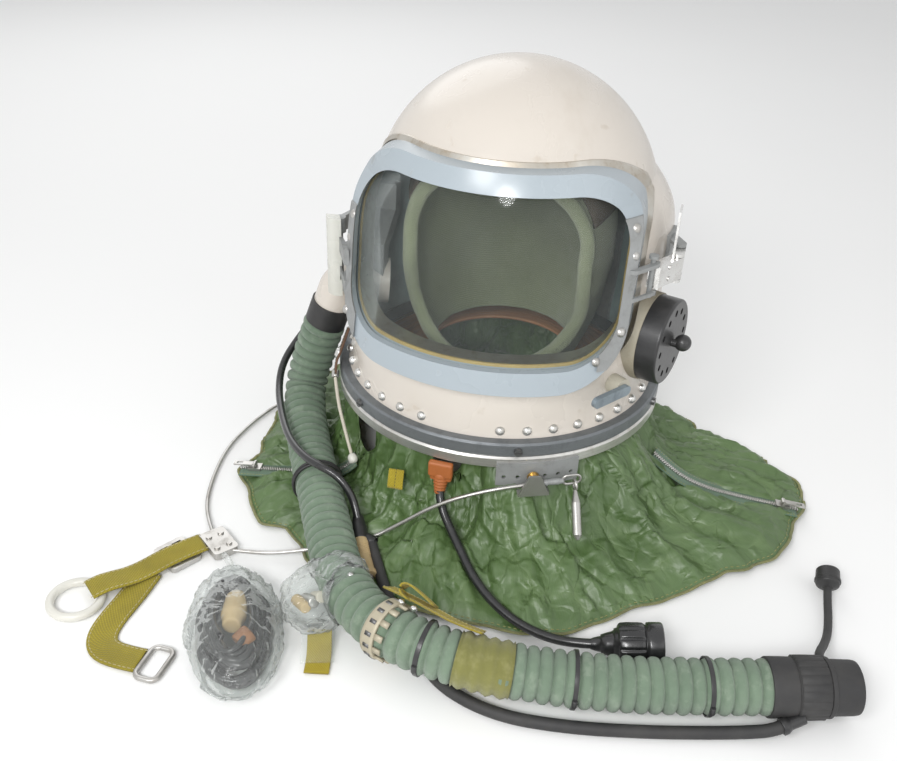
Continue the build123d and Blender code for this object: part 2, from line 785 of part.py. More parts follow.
# Cover round the hinge, carried by the visor's arms
with BuildPart() as hinge_cover:
    with BuildSketch(Plane.XY.offset(hinge_base - cover_gap - cover_wall)):
        with BuildLine(Location(hinge_axis)):
            rim = CenterArc((0, 0), cover_radius, cover_start_angle, cover_end_angle - cover_start_angle)
            Line((0, 0), rim @ 0)
            Line((0, 0), rim @ 1)
        make_face()
    extrude(amount=hinge_height + 2 * (cover_gap + cover_wall))
    with BuildSketch(Plane.XY.offset(hinge_base - cover_gap)):
        with Locations(hinge_axis):
            Circle(cover_radius - cover_wall)
    extrude(amount=hinge_height + 2 * cover_gap, mode=Mode.SUBTRACT)
    for knuckle in range(1, hinge_knuckle_count, 2):
        add(hinge_arm(visor_arm_end, hinge_base + knuckle * knuckle_step), mode=Mode.SUBTRACT)
save(hinge_cover, "hinge_cover")

# Latch strip with lugs and the latch pin
pin_axis = Vector(latch_pin_x, latch_pin_y)
lug_root = pin_axis + Vector(-lug_reach_side, -lug_reach_front)


def rod(centre, radius, base, height):
    # An upright pin.
    with BuildPart() as pin:
        with BuildSketch(Plane.XY.offset(base)):
            with Locations(centre):
                Circle(radius)
        extrude(amount=height)
    return pin.part


def link_arm(start, end, width, base, height):
    # A flat bar with round ends between two upright axes.
    run = end - start
    turn = math.degrees(math.atan2(run.Y, run.X))
    with BuildPart() as arm:
        with BuildSketch(Plane.XY.offset(base)):
            with Locations(start + run / 2):
                SlotCenterToCenter(run.length, width, rotation=turn)
        extrude(amount=height)
    return arm.part


with BuildPart() as latch_strip_plate:
    add(surface_patch(
        frame_proud + strip_thickness,
        (face_half_width - strip_width - frame_side_width, -prism_reach, strip_base),
        (face_half_width, 0, strip_base + strip_height), frame_proud,
    ))
    add(frame_outline, mode=Mode.INTERSECT)
    add(window_outline, mode=Mode.SUBTRACT)

with BuildPart() as latch_strip:
    for lug_height in (lug_lower_height, lug_upper_height):
        add(link_arm(pin_axis, lug_root, 2 * lug_radius, lug_height, lug_thickness))
    add(helmet_form(frame_proud), mode=Mode.SUBTRACT)
    add(rod(pin_axis, latch_pin_radius, latch_pin_base, latch_pin_height))
    add(rod(pin_axis, latch_pin_head_radius, latch_pin_base + latch_pin_height, latch_pin_head_height))
    add(latch_strip_plate.part)
save(latch_strip, "latch_strip")

# Rivets through both strips
def form_section(height, growth):
    # Half width, half length and centre of the form at a height, between stations.
    share = (height - shell_base) / shell_height_to_dome
    rows = list(zip(
        station_height_shares, station_width_shares, station_length_shares, station_setback_shares,
    ))
    for below, above in zip(rows, rows[1:]):
        if share <= above[0]:
            part_way = (share - below[0]) / (above[0] - below[0])
            width, length, setback = (
                low + part_way * (high - low) for low, high in zip(below[1:], above[1:])
            )
            return (width * shell_half_width + growth, length * shell_half_width + growth,
                    setback * dome_setback)
    cap_radius = math.sqrt((dome_radius + growth) ** 2 - (height - dome_height) ** 2)
    return cap_radius, cap_radius, dome_setback


def front_point(across, height, growth):
    half_width, half_length, centre = form_section(height, growth)
    return Vector(across, centre - half_length * math.sqrt(1 - (across / half_width) ** 2), height)


with BuildPart() as frame_rivets:
    for side, thickness, base, height in (
        (-1, hinge_plate_thickness, hinge_plate_base, hinge_plate_height),
        (1, strip_thickness, strip_base, strip_height),
    ):
        for height_share, across_share in zip(frame_rivet_height_shares, frame_rivet_across_shares):
            seat = front_point(
                side * across_share * face_half_width, base + height_share * height,
                frame_proud + thickness - rivet_head_radius + rivet_head_height,
            )
            with Locations(seat):
                Sphere(rivet_head_radius)
    add(helmet_form(frame_proud + strip_thickness), mode=Mode.SUBTRACT)
save(frame_rivets, "frame_rivets")

# Latch lever, its base on the shell and the link to the pin
lever_axis = Vector(lever_pivot_x, lever_pivot_y)
link_axis = lever_axis + Vector(0, -pivot_spacing)
link_top = link_base + link_height
lower_ear = link_base - link_gap - lever_ear_thickness
upper_ear = link_top + link_gap
base_lower_ear = lower_ear - link_gap - lever_ear_thickness
base_upper_ear = upper_ear + lever_ear_thickness + link_gap
base_root = lever_axis + Vector(-base_reach_side, base_reach_back)
with BuildPart() as latch_base:
    for ear in (base_lower_ear, base_upper_ear):
        add(link_arm(lever_axis, base_root, 2 * lever_ear_radius, ear, lever_ear_thickness))
    add(helmet_form(0), mode=Mode.SUBTRACT)
    add(surface_patch(
        latch_plate_thickness,
        (0, base_root.Y - latch_plate_width / 2, base_lower_ear - lever_ear_thickness),
        (lever_pivot_x, base_root.Y + latch_plate_width / 2, base_upper_ear + 2 * lever_ear_thickness),
    ))
    lever_pin_length = base_upper_ear + lever_ear_thickness - base_lower_ear
    add(rod(lever_axis, lever_pin_radius, base_lower_ear, lever_pin_length))
save(latch_base, "latch_base")

with BuildPart() as latch_lever:
    for ear in (lower_ear, upper_ear):
        add(link_arm(lever_axis, link_axis, 2 * lever_ear_radius, ear, lever_ear_thickness))
    add(rod(lever_axis, lever_ear_radius, lower_ear, upper_ear + lever_ear_thickness - lower_ear))
    add(rod(link_axis, lever_pin_radius, lower_ear, upper_ear + lever_ear_thickness - lower_ear))
    add(rod(
        lever_axis, lever_pin_radius + link_bore_gap, lower_ear, upper_ear + lever_ear_thickness - lower_ear,
    ), mode=Mode.SUBTRACT)
    with BuildSketch(Plane.XY.offset(upper_ear)):
        with Locations(link_axis + Vector(-lever_ear_radius + finger_plate_thickness, 0)):
            Rectangle(finger_plate_thickness, finger_plate_width)
    extrude(amount=lever_ear_thickness + finger_plate_height)
save(latch_lever, "latch_lever")

claw_seat = latch_pin_radius + claw_gap
claw_outer = claw_seat + claw_wall
claw_corner = pin_axis + Vector(claw_outer - link_thickness / 2, claw_outer - claw_wall / 2)
with BuildPart() as latch_link:
    add(link_arm(link_axis, claw_corner, link_thickness, link_base, link_height))
    with BuildSketch(Plane.XY.offset(link_base)):
        with Locations(pin_axis + Vector(claw_outer / 2, claw_outer / 2)):
            Rectangle(claw_outer, claw_outer)
    extrude(amount=link_height)
    with BuildSketch(Plane.XY.offset(link_base)):
        with Locations(pin_axis + Vector(claw_seat - claw_cut / 2, claw_seat - claw_cut / 2)):
            Rectangle(claw_cut, claw_cut)
    extrude(amount=link_height, mode=Mode.SUBTRACT)
    add(rod(link_axis, lever_pin_radius + link_bore_gap, link_base, link_height), mode=Mode.SUBTRACT)
    link_run = (claw_corner - link_axis).normalized()
    screw_plane = Plane(
        origin=(link_axis + claw_corner) / 2 + Vector(0, 0, link_base + link_height / 2),
        x_dir=(0, 0, 1), z_dir=(-link_run.Y, link_run.X, 0),
    ).offset(link_thickness / 2)
    with BuildSketch(screw_plane):
        with GridLocations(link_screw_spacing, 0, 2, 1):
            Circle(link_screw_radius)
    extrude(amount=link_screw_head)
save(latch_link, "latch_link")

# Exhalation valve and its gasket
valve_plane = radial_plane(valve_seat_radius, valve_angle, valve_height)
valve_depth = valve_face_radius - valve_seat_radius
with BuildPart() as valve_gasket:
    with BuildSketch(valve_plane):
        Circle(valve_radius + valve_gasket_overhang)
    extrude(amount=-ring_width)
    add(helmet_form(0), mode=Mode.SUBTRACT)
    add(face_prism(*[-seat_reach - valve_gasket_gap] * 4), mode=Mode.SUBTRACT)
save(valve_gasket, "valve_gasket")

with BuildPart() as valve_body:
    with BuildSketch(valve_plane):
        Circle(valve_radius)
    extrude(amount=valve_depth)
    fillet(valve_body.faces().sort_by(Axis((0, 0, 0), valve_plane.z_dir))[-1].edges(), valve_edge_radius)
    with BuildSketch(valve_plane):
        Circle(valve_radius - valve_wall)
        Circle(valve_hub_radius, mode=Mode.SUBTRACT)
    extrude(amount=valve_cup_depth, mode=Mode.SUBTRACT)
    with BuildSketch(valve_plane):
        with PolarLocations(valve_hole_circle, valve_hole_count):
            Circle(valve_hole_radius)
        Circle(toggle_shaft_radius + toggle_bore_gap)
    extrude(amount=valve_depth, mode=Mode.SUBTRACT)
save(valve_body, "valve_body")

with BuildPart() as valve_toggle:
    with BuildSketch(valve_plane.offset(valve_depth - toggle_shaft_length)):
        Circle(toggle_shaft_radius)
    extrude(amount=toggle_shaft_length + toggle_rise)
    with Locations(valve_plane.offset(valve_depth + toggle_rise + toggle_ball_radius / 2)):
        with Locations((toggle_offset, 0)):
            Sphere(toggle_ball_radius)
save(valve_toggle, "valve_toggle")

# Crank and its boss
crank_plane = radial_plane(crank_boss_face, crank_angle, crank_height)
with BuildPart() as crank_boss:
    with BuildSketch(crank_plane):
        Circle(crank_boss_radius)
    extrude(amount=-ring_width)
    add(helmet_form(0), mode=Mode.SUBTRACT)
    with BuildSketch(crank_plane):
        Circle(crank_shaft_radius + crank_bore_gap)
    extrude(amount=-crank_shaft_depth, mode=Mode.SUBTRACT)
save(crank_boss, "crank_boss")

with BuildPart() as crank_lever:
    with BuildSketch(crank_plane.offset(door_gap)):
        with Locations((-crank_arm_length / 2, 0)):
            SlotCenterToCenter(crank_arm_length, crank_arm_width)
    extrude(amount=crank_arm_thickness)
    with BuildSketch(crank_plane.offset(door_gap)):
        Circle(crank_shaft_radius)
    extrude(amount=-crank_shaft_depth)
save(crank_lever, "crank_lever")

# Routes of the hose, the leads and the cable
def corner_radii(route, name):
    # Each corner is as round as its two runs allow.
    points = [Vector(*point) for point in route]
    radii = []
    for before, corner, after in zip(points, points[1:], points[2:]):
        turn = (corner - before).get_angle(after - corner)
        shorter = min((corner - before).length, (after - corner).length)
        radii.append(bend_share * shorter / math.tan(math.radians(turn) / 2))
    print(name, "bend radii", [round(radius, 1) for radius in radii])
    return radii


def route_tube(route, radius, name):
    with BuildPart() as tube:
        with BuildLine() as path:
            FilletPolyline(*route, radius=corner_radii(route, name))
        with BuildSketch(between(route[0], route[1])):
            Circle(radius)
        sweep()
    section = math.pi * radius ** 2
    share = tube.part.volume / section / path.wires()[0].length
    print(name, "volume over section times length", round(share, precision))
    return tube.part


# Breathing inlet
with BuildPart() as inlet_elbow:
    with BuildLine() as elbow_path:
        FilletPolyline(*elbow_route, radius=elbow_bend)
    with BuildSketch(between(elbow_start, elbow_corner)):
        Circle(elbow_outer_radius)
        Circle(elbow_bore, mode=Mode.SUBTRACT)
    sweep()
    with BuildSketch(between(elbow_start, elbow_corner)):
        Circle(port_radius)
        Circle(elbow_bore, mode=Mode.SUBTRACT)
    extrude(amount=-port_depth)
save(inlet_elbow, "inlet_elbow")

with BuildPart() as hose_cuff:
    with BuildSketch(between(elbow_end, hose_route[0])):
        Circle(cuff_radius)
        Circle(hose_bore_radius, mode=Mode.SUBTRACT)
    extrude(amount=(Vector(*hose_route[0]) - Vector(*elbow_end)).length)
save(hose_cuff, "hose_cuff")

# Ribbed hose, its sections kept on one steady sideways direction
with BuildLine() as hose_path:
    FilletPolyline(*hose_route, radius=corner_radii(hose_route, "hose"))
hose_wire = hose_path.wires()[0]
hose_length = hose_wire.length
hose_rib_count = round(hose_length / hose_rib_pitch)
rib_length = hose_length / hose_rib_count


def hose_section(distance):
    # The plane across the hose at a distance along it.
    along = hose_wire.tangent_at(distance, position_mode=PositionMode.LENGTH)
    across = along.cross(Vector(*hose_side)).normalized()
    return Plane(
        origin=hose_wire.position_at(distance, position_mode=PositionMode.LENGTH),
        x_dir=across, z_dir=along,
    )


with BuildPart() as hose:
    for rib in range(hose_rib_count):
        for place_share, radius in zip(rib_place_shares, (
            hose_radius - hose_groove_depth, hose_radius, hose_radius, hose_radius - hose_groove_depth,
        )):
            with BuildSketch(hose_section((rib + place_share) * rib_length)):
                Circle(radius)
    loft(ruled=True)
    with BuildSketch(hose_section(0)):
        Circle(hose_bore_radius)
    sweep(path=hose_wire, mode=Mode.SUBTRACT)
save(hose, "hose")
print("hose length", round(hose_length), "ribs", hose_rib_count)


def hose_ring(start_share, end_share, inner, outer, steps):
    # A ring that follows the hose between two shares of its length.
    with BuildPart() as ring:
        for radius, mode in ((outer, Mode.ADD), (inner, Mode.SUBTRACT)):
            for step in range(steps + 1):
                share = start_share + (end_share - start_share) * step / steps
                with BuildSketch(hose_section(share * hose_length)):
                    Circle(radius)
            loft(ruled=True, mode=mode)
    return ring.part


with BuildPart() as hose_sleeve:
    add(hose_ring(sleeve_start_share, sleeve_end_share, hose_radius + sleeve_gap,
                  hose_radius + sleeve_gap + sleeve_wall, sleeve_steps))
save(hose_sleeve, "hose_sleeve")

clamp_plane = hose_section(clamp_at_share * hose_length)
with BuildPart() as hose_clamp:
    with BuildSketch(clamp_plane):
        Circle(hose_radius + sleeve_gap + clamp_wall)
        Circle(hose_radius + sleeve_gap, mode=Mode.SUBTRACT)
    extrude(amount=clamp_width)
    with BuildSketch(clamp_plane.offset(clamp_width)):
        with PolarLocations(hose_radius + sleeve_gap + clamp_wall / 2, clamp_tooth_count):
            Rectangle(2 * clamp_wall, clamp_tooth_width)
        Circle(hose_radius + sleeve_gap, mode=Mode.SUBTRACT)
        Circle(hose_radius + sleeve_gap + clamp_wall, mode=Mode.INTERSECT)
    extrude(amount=clamp_tooth_length)

with BuildPart() as hose_bands:
    add(hose_clamp.part)
    for band_share in band_at_shares:
        band_plane = hose_section(band_share * hose_length)
        with BuildSketch(band_plane):
            Circle(hose_radius + sleeve_gap + band_thickness)
            Circle(hose_radius + sleeve_gap, mode=Mode.SUBTRACT)
        extrude(amount=band_width)
save(hose_bands, "hose_bands")

# Connector on the free end of the hose
end_plane = hose_section(hose_length)
grip_plane = end_plane.offset(end_cuff_length)
body_plane = grip_plane.offset(grip_length)
tube_end = Vector(*tube_route[-1])
with BuildPart() as hose_connector:
    with BuildSketch(end_plane):
        Circle(end_cuff_radius)
    extrude(amount=end_cuff_length)
    with BuildSketch(between(tube_route[-1], tube_end + tube_end - Vector(*tube_route[-2]))):
        Circle(side_barb_radius)
    extrude(amount=side_barb_length)
    with BuildSketch(grip_plane):
        Circle(grip_radius - grip_rib_radius / 2)
        with PolarLocations(grip_radius - grip_rib_radius, grip_rib_count):
            Circle(grip_rib_radius)
    extrude(amount=grip_length)
    with BuildSketch(body_plane):
        Circle(end_body_radius)
    extrude(amount=end_body_length)
    with BuildSketch(end_plane):
        Circle(end_bore)
    extrude(amount=end_cuff_length + grip_length + end_body_length, mode=Mode.SUBTRACT)
save(hose_connector, "hose_connector")

# Leads
with BuildPart() as comm_cable:
    add(route_tube(comm_route, comm_radius, "comm cable"))
save(comm_cable, "comm_cable")

with BuildPart() as comm_gland:
    with BuildSketch(Plane.XY.offset(comm_route[0][2])):
        with Locations((comm_route[0][0], comm_route[0][1])):
            SlotOverall(gland_length, gland_width)
    extrude(amount=lower_ring_base - comm_route[0][2])
save(comm_gland, "comm_gland")

comm_end = Vector(*comm_route[-1])
plug_plane = between(comm_route[-1], comm_end + comm_end - Vector(*comm_route[-2]))
with BuildPart() as comm_plug:
    with BuildSketch(plug_plane):
        Circle(plug_boot_radius)
    extrude(amount=plug_boot_length)
    with BuildSketch(plug_plane.offset(plug_boot_length)):
        Circle(plug_radius)
        with PolarLocations(plug_radius, plug_flute_count):
            Circle(plug_flute_radius, mode=Mode.SUBTRACT)
    extrude(amount=plug_length - plug_boot_length)
    with BuildSketch(plug_plane.offset(plug_length)):
        Circle(plug_socket_radius)
    extrude(amount=-plug_socket_depth, mode=Mode.SUBTRACT)
save(comm_plug, "comm_plug")

with BuildPart() as heater_lead:
    add(route_tube(lead_route, lead_radius, "heater lead"))
save(heater_lead, "heater_lead")

with BuildPart() as lead_gland:
    with BuildSketch(between(lead_route[0], lead_route[1])):
        Circle(lead_gland_radius)
    extrude(amount=-lead_gland_length)
    add(helmet_form(0), mode=Mode.SUBTRACT)
save(lead_gland, "lead_gland")

with BuildPart() as side_tube:
    add(route_tube(tube_route, tube_radius, "side tube"))
save(side_tube, "side_tube")

# Moulded splitter where the side tube leaves the lead, then the sleeved plug
lead_end = Vector(*lead_route[-1])
tube_start = Vector(*tube_route[0])
tube_back = (tube_start - Vector(*tube_route[1])).normalized()
splitter_far = tube_start + Vector(*splitter_side)
with BuildPart() as lead_splitter:
    with BuildSketch(between(lead_route[-1], splitter_far)):
        Circle(splitter_radius)
    extrude(amount=(splitter_far - lead_end).length)
    with BuildSketch(between(tube_route[0], tube_start + tube_back)):
        Circle(tube_radius + sleeve_wall)
    extrude(amount=splitter_branch)

sleeve_plane = between(splitter_far, splitter_far + Vector(*sleeve_direction))
with BuildPart() as lead_sleeve:
    with BuildSketch(sleeve_plane):
        Circle(sleeve_radius)
    with BuildSketch(sleeve_plane.offset(sleeve_length)):
        Circle(sleeve_radius + sleeve_wall)
    loft()

with BuildPart() as lead_connector:
    add(lead_splitter.part)
    add(lead_sleeve.part)
    with BuildSketch(sleeve_plane.offset(sleeve_length)):
        Circle(tip_radius)
    extrude(amount=tip_length)
save(lead_connector, "lead_connector")

tether_end = Vector(*tether_route[-1])
with BuildPart() as cap_tether:
    add(route_tube(tether_route, tether_radius, "cap tether"))
    with BuildSketch(between(tether_route[-1], tether_end + tether_end - Vector(*tether_route[-2]))):
        Circle(cap_radius)
    extrude(amount=cap_length)
save(cap_tether, "cap_tether")

# Front tab, cable pulley and bracket
with BuildPart() as front_tab:
    tab_base = lower_ring_base + tab_rise - tab_height
    with BuildSketch(Plane.XY.offset(tab_base)):
        with BuildLine():
            tab_start = tab_angle - tab_span_angle / 2 - 90
            outer = CenterArc((0, 0), ring_radius + tab_thickness, tab_start, tab_span_angle)
            inner = CenterArc((0, 0), ring_radius, tab_start, tab_span_angle)
            Line(outer @ 0, inner @ 0)
            Line(outer @ 1, inner @ 1)
        make_face()
    extrude(amount=tab_height)
    for hole in range(tab_hole_count):
        hole_angle = tab_angle + (hole - (tab_hole_count - 1) / 2) * tab_hole_step_angle
        with BuildSketch(radial_plane(ring_radius - tab_thickness, hole_angle, tab_base + tab_hole_rise)):
            Circle(tab_hole_radius)
        extrude(amount=3 * tab_thickness, mode=Mode.SUBTRACT)
save(front_tab, "front_tab")

pulley_centre_height = cable_height_at_pulley + cable_radius + pulley_core_radius + pulley_side_gap
tab_face = ring_radius + tab_thickness
pulley_plane = radial_plane(tab_face + pulley_inset, pulley_angle, pulley_centre_height)
plate_plane = pulley_plane.offset(pulley_thickness + pulley_side_gap)
plate_drop = pulley_centre_height - pulley_floor_height
with BuildPart() as pulley_bracket:
    with BuildSketch(plate_plane):
        with BuildLine():
            Line((-pulley_plate_width / 2, -plate_drop), (pulley_plate_width / 2, -plate_drop))
            Line((pulley_plate_width / 2, -plate_drop), (pulley_radius, pulley_radius))
            Line((pulley_radius, pulley_radius), (-pulley_radius, pulley_radius))
            Line((-pulley_radius, pulley_radius), (-pulley_plate_width / 2, -plate_drop))
        make_face()
    extrude(amount=pulley_plate_thickness)
    with BuildSketch(Plane(
        origin=radial_plane(tab_face, pulley_angle, pulley_floor_height).origin,
        x_dir=pulley_plane.x_dir, z_dir=pulley_plane.z_dir,
    )):
        with Locations((0, pulley_plate_thickness / 2)):
            Rectangle(pulley_plate_width, pulley_plate_thickness)
    extrude(amount=pulley_inset + pulley_thickness + pulley_side_gap)
    with BuildSketch(radial_plane(ring_radius, pulley_angle, pulley_centre_height)):
        Circle(pulley_pin_radius)
    extrude(amount=tab_thickness + pulley_inset + pulley_thickness + pulley_side_gap)
    with BuildSketch(Plane.XY):
        Circle(tab_face)
    extrude(amount=shell_base, mode=Mode.SUBTRACT)
save(pulley_bracket, "pulley_bracket")

with BuildPart() as pulley_roller:
    with BuildSketch(pulley_plane):
        Circle(pulley_radius)
    extrude(amount=pulley_thickness)
    with BuildSketch(pulley_plane.offset((pulley_thickness - pulley_groove_width) / 2)):
        Circle(pulley_radius)
        Circle(pulley_core_radius, mode=Mode.SUBTRACT)
    extrude(amount=pulley_groove_width, mode=Mode.SUBTRACT)
    with BuildSketch(pulley_plane):
        Circle(pulley_pin_radius + pulley_bore_gap)
    extrude(amount=pulley_thickness, mode=Mode.SUBTRACT)
save(pulley_roller, "pulley_roller")

# Hold-down cable with its ferrule and eye, and the hook that hangs in the eye

cable_start = Vector(*cable_route[0])
ferrule_plane = between(cable_route[0], cable_start + cable_start - Vector(*cable_route[1]))
ferrule_direction = ferrule_plane.z_dir
eye_middle = cable_start + ferrule_direction * (ferrule_length + eye_length / 2 - eye_wire)
eye_normal = ferrule_direction.cross(Vector(0, 0, 1)).normalized()
eye_plane = Plane(origin=eye_middle, x_dir=ferrule_direction, z_dir=eye_normal)
with BuildPart() as hold_down_cable:
    add(route_tube(cable_route, cable_radius, "hold-down cable"))
    add(route_tube(cable_loop_route, cable_radius, "cable loop"))
    with BuildSketch(ferrule_plane):
        Circle(ferrule_radius)
    extrude(amount=ferrule_length)
    with BuildSketch(eye_plane):
        SlotOverall(eye_length, eye_width)
        SlotOverall(eye_length - 2 * eye_wire, eye_width - 2 * eye_wire, mode=Mode.SUBTRACT)
    extrude(amount=eye_wire / 2, both=True)
save(hold_down_cable, "hold_down_cable")

hook_side = eye_plane.y_dir * (eye_width / 2 - eye_wire / 2)
hook_pivot = eye_middle + ferrule_direction * hook_along - hook_side
hook_drop = hook_ring_radius - hook_wire_radius - eye_wire / 2 - hook_wire_gap
hook_centre = hook_pivot - Vector(0, 0, hook_drop)
hook_run = Vector(*hook_direction).normalized()
with BuildPart() as tether_hook:
    with Locations(Plane(origin=hook_centre, z_dir=ferrule_direction)):
        Torus(hook_ring_radius, hook_wire_radius)
    for hook_distance, section_radius in (
        (hook_ring_radius, hook_wire_radius), (hook_ring_radius + hook_radius * 3, hook_radius),
        (hook_length - hook_radius, hook_radius), (hook_length, hook_wire_radius),
    ):
        with BuildSketch(Plane(origin=hook_centre + hook_run * hook_distance, z_dir=hook_run)):
            Circle(section_radius)
    loft(ruled=True)
save(tether_hook, "tether_hook")

# Neck seal, inside the lower ring
with BuildPart() as neck_seal:
    with BuildSketch(Plane.XZ):
        with BuildLine():
            Polyline(
                (ring_bore, lower_ring_base + seal_drop),
                (ring_bore, lower_ring_base + seal_drop + seal_flange_height),
                (seal_neck_radius, seal_neck_height + seal_thickness),
                (seal_neck_radius, seal_neck_height),
                (ring_bore - seal_thickness, lower_ring_base + seal_drop + seal_thickness),
                (ring_bore - seal_thickness, lower_ring_base + seal_drop),
                close=True,
            )
        make_face()
    revolve(axis=Axis.Z)
save(neck_seal, "neck_seal")


def hood_form(growth):
    with BuildPart() as form:
        for height_share, width_share in zip(hood_height_shares, hood_width_shares):
            with BuildSketch(Plane(origin=(0, hood_centre_y, hood_base + height_share * hood_height))):
                Ellipse(
                    width_share * hood_half_width + growth, width_share * hood_half_width + growth,
                )
        loft()
    return form.part


# Knitted hood, open at the face and the neck, held by a pad at the crown
with BuildPart() as liner_hood:
    add(hood_form(0))
    add(hood_form(-hood_wall), mode=Mode.SUBTRACT)
    with BuildSketch(Plane.XZ.offset(-hood_centre_y)) as hood_face:
        with Locations((0, hood_base + face_edge_base_rise + face_edge_height / 2)):
            RectangleRounded(2 * face_edge_half_width, face_edge_height, face_edge_radius)
    extrude(amount=prism_reach, mode=Mode.SUBTRACT)

lining_face = -shell_wall - lining_gap - lining_wall
with BuildPart() as crown_pad:
    with BuildSketch(Plane(origin=(0, hood_centre_y, hood_base + hood_height - hood_wall / 2))):
        Circle(pad_radius)
    extrude(amount=shell_half_width)
    add(helmet_form(lining_face - pad_gap), mode=Mode.INTERSECT)

with BuildPart() as hood_and_pad:
    add(liner_hood.part)
    add(crown_pad.part)
save(hood_and_pad, "liner_hood")

# Dog-leg bracket on the inner wall beside the hinge
with BuildPart() as dog_leg:
    with BuildSketch(Plane.YZ.offset(-bracket_inner_reach)):
        with BuildLine():
            Polyline(*(
                (along_share * bracket_height, bracket_base + height_share * bracket_height)
                for along_share, height_share in bracket_shares
            ))
        trace(line_width=bracket_width)
    extrude(amount=-bracket_reach)
    add(helmet_form(lining_face), mode=Mode.INTERSECT)
    with BuildSketch(between(elbow_start, elbow_corner)):
        Circle(port_radius + sleeve_gap)
    extrude(amount=2 * port_depth, both=True, mode=Mode.SUBTRACT)

# Curved band on the inner wall behind the wearer's left ear
with BuildPart() as inner_brackets:
    band_middle = radial_plane(dome_radius, band_angle, band_height)
    add(helmet_form(lining_face))
    add(helmet_form(lining_face - band_wall), mode=Mode.SUBTRACT)
    with Locations(band_middle):
        Box(inner_band_width, inner_band_length, shell_half_width, mode=Mode.INTERSECT)
    add(dog_leg.part)
save(inner_brackets, "inner_brackets")


def strap_solid(route, width, thickness, up=(0.0, 0.0, 1.0)):
    # A flat band through the points, its face kept towards one direction.
    points = [Vector(*point) for point in route]
    with BuildPart() as band:
        for place, point in enumerate(points):
            before, after = points[max(place - 1, 0)], points[min(place + 1, len(points) - 1)]
            along = (after - before).normalized()
            with BuildSketch(Plane(origin=point, x_dir=Vector(*up).cross(along), z_dir=along)):
                Rectangle(width, thickness)
        loft(ruled=True)
    return band.part


with BuildPart() as leather_strap:
    add(strap_solid(leather_route, leather_width, leather_thickness, leather_facing))
    add(helmet_form(0), mode=Mode.SUBTRACT)

bead_end = Vector(*cord_route[-1])
with BuildPart() as strap_and_cord:
    add(leather_strap.part)
    add(route_tube(cord_route, cord_radius, "pull cord"))
    with Locations(bead_end):
        Sphere(bead_radius)
save(strap_and_cord, "leather_strap")

# Cable plate and its rivets
plate_plane = Plane(origin=(plate_centre[0], plate_centre[1], plate_lift)).rotated((0, 0, plate_turn_angle))
with BuildPart() as cable_plate:
    with BuildSketch(plate_plane):
        RectangleRounded(plate_length, plate_width, plate_corner)
    extrude(amount=plate_height)
    with BuildSketch(plate_plane.offset(plate_height)):
        with GridLocations(plate_length / 2, plate_width / 2, 2, 2):
            Circle(plate_rivet_radius)
    extrude(amount=plate_rivet_height)
save(cable_plate, "cable_plate")

buckle_plane = Plane(origin=(buckle_centre[0], buckle_centre[1], plate_lift))
buckle_plane = buckle_plane.rotated((0, 0, buckle_turn_angle))
with BuildPart() as adjuster_buckle:
    with BuildSketch(buckle_plane):
        RectangleRounded(buckle_length, buckle_width, buckle_wall)
        with GridLocations((buckle_length - buckle_wall) / 2, 0, 2, 1):
            Rectangle(
                (buckle_length - 3 * buckle_wall) / 2, buckle_width - 2 * buckle_wall, mode=Mode.SUBTRACT,
            )
    extrude(amount=buckle_height)
save(adjuster_buckle, "adjuster_buckle")

with BuildPart() as webbing:
    add(strap_solid(web_route, web_width, web_thickness))
    add(strap_solid(tail_route, web_width, web_thickness))
save(webbing, "webbing")

with BuildPart() as pull_ring:
    with Locations((pull_ring_centre[0], pull_ring_centre[1], pull_ring_wire)):
        Torus(pull_ring_radius, pull_ring_wire)
save(pull_ring, "pull_ring")

# Wire link at the end of the webbing, its bar across the strap
link_plane = Plane(
    origin=(link_ring_centre[0], link_ring_centre[1], link_ring_wire), x_dir=(1, 0, 0), z_dir=(0, 0, 1),
)
with BuildPart() as link_ring:
    with BuildLine(link_plane) as link_line:
        FilletPolyline(
            (0, -link_ring_width / 2), (link_ring_length, -link_ring_width / 2),
            (link_ring_length, link_ring_width / 2), (0, link_ring_width / 2),
            radius=link_ring_bend, close=True,
        )
    with BuildSketch(Plane(origin=link_line.line @ 0, z_dir=link_line.line % 0)):
        Circle(link_ring_wire)
    sweep()
save(link_ring, "link_ring")

with BuildPart() as hose_strap:
    add(strap_solid(strap_route, strap_width, web_thickness, strap_facing))
save(hose_strap, "hose_strap")

# Zips on the cape, with sliders that run on the chain and pulls on their bridges
def zip_plane(route):
    # At the slider: x along the zip, y across it, z away from the cape.
    last = Vector(*route[-1])
    along = (last - Vector(*route[-2])).normalized()
    across = Vector(0, 0, 1).cross(along).normalized()
    return Plane(origin=last - along * slider_back, x_dir=along, z_dir=along.cross(across))


def zip_tape(route):
    with BuildPart() as tape:
        add(strap_solid(route, zip_width, tape_thickness))
        add(strap_solid(route, chain_width, chain_height))
    return tape.part


def zip_room(route):
    # What the cape leaves free for the tape and for the slider's travel.
    place = zip_plane(route)
    with BuildPart() as room:
        add(strap_solid(route, zip_width + 2 * slider_gap, tape_thickness + 2 * slider_gap))
        add(strap_solid(route, chain_width + 2 * slider_gap, chain_height + 2 * slider_gap))
        with BuildSketch(place.offset(-chain_height / 2)):
            with Locations(((slider_back - slider_travel) / 2, 0)):
                Rectangle(
                    slider_length + slider_travel + slider_back, slider_width + 2 * slider_gap,
                )
        extrude(amount=3 * slider_width)
    return room.part


with BuildPart() as zip_tapes:
    for zip_route in (right_zip_route, left_zip_route):
        add(zip_tape(zip_route))
save(zip_tapes, "zip_tapes")

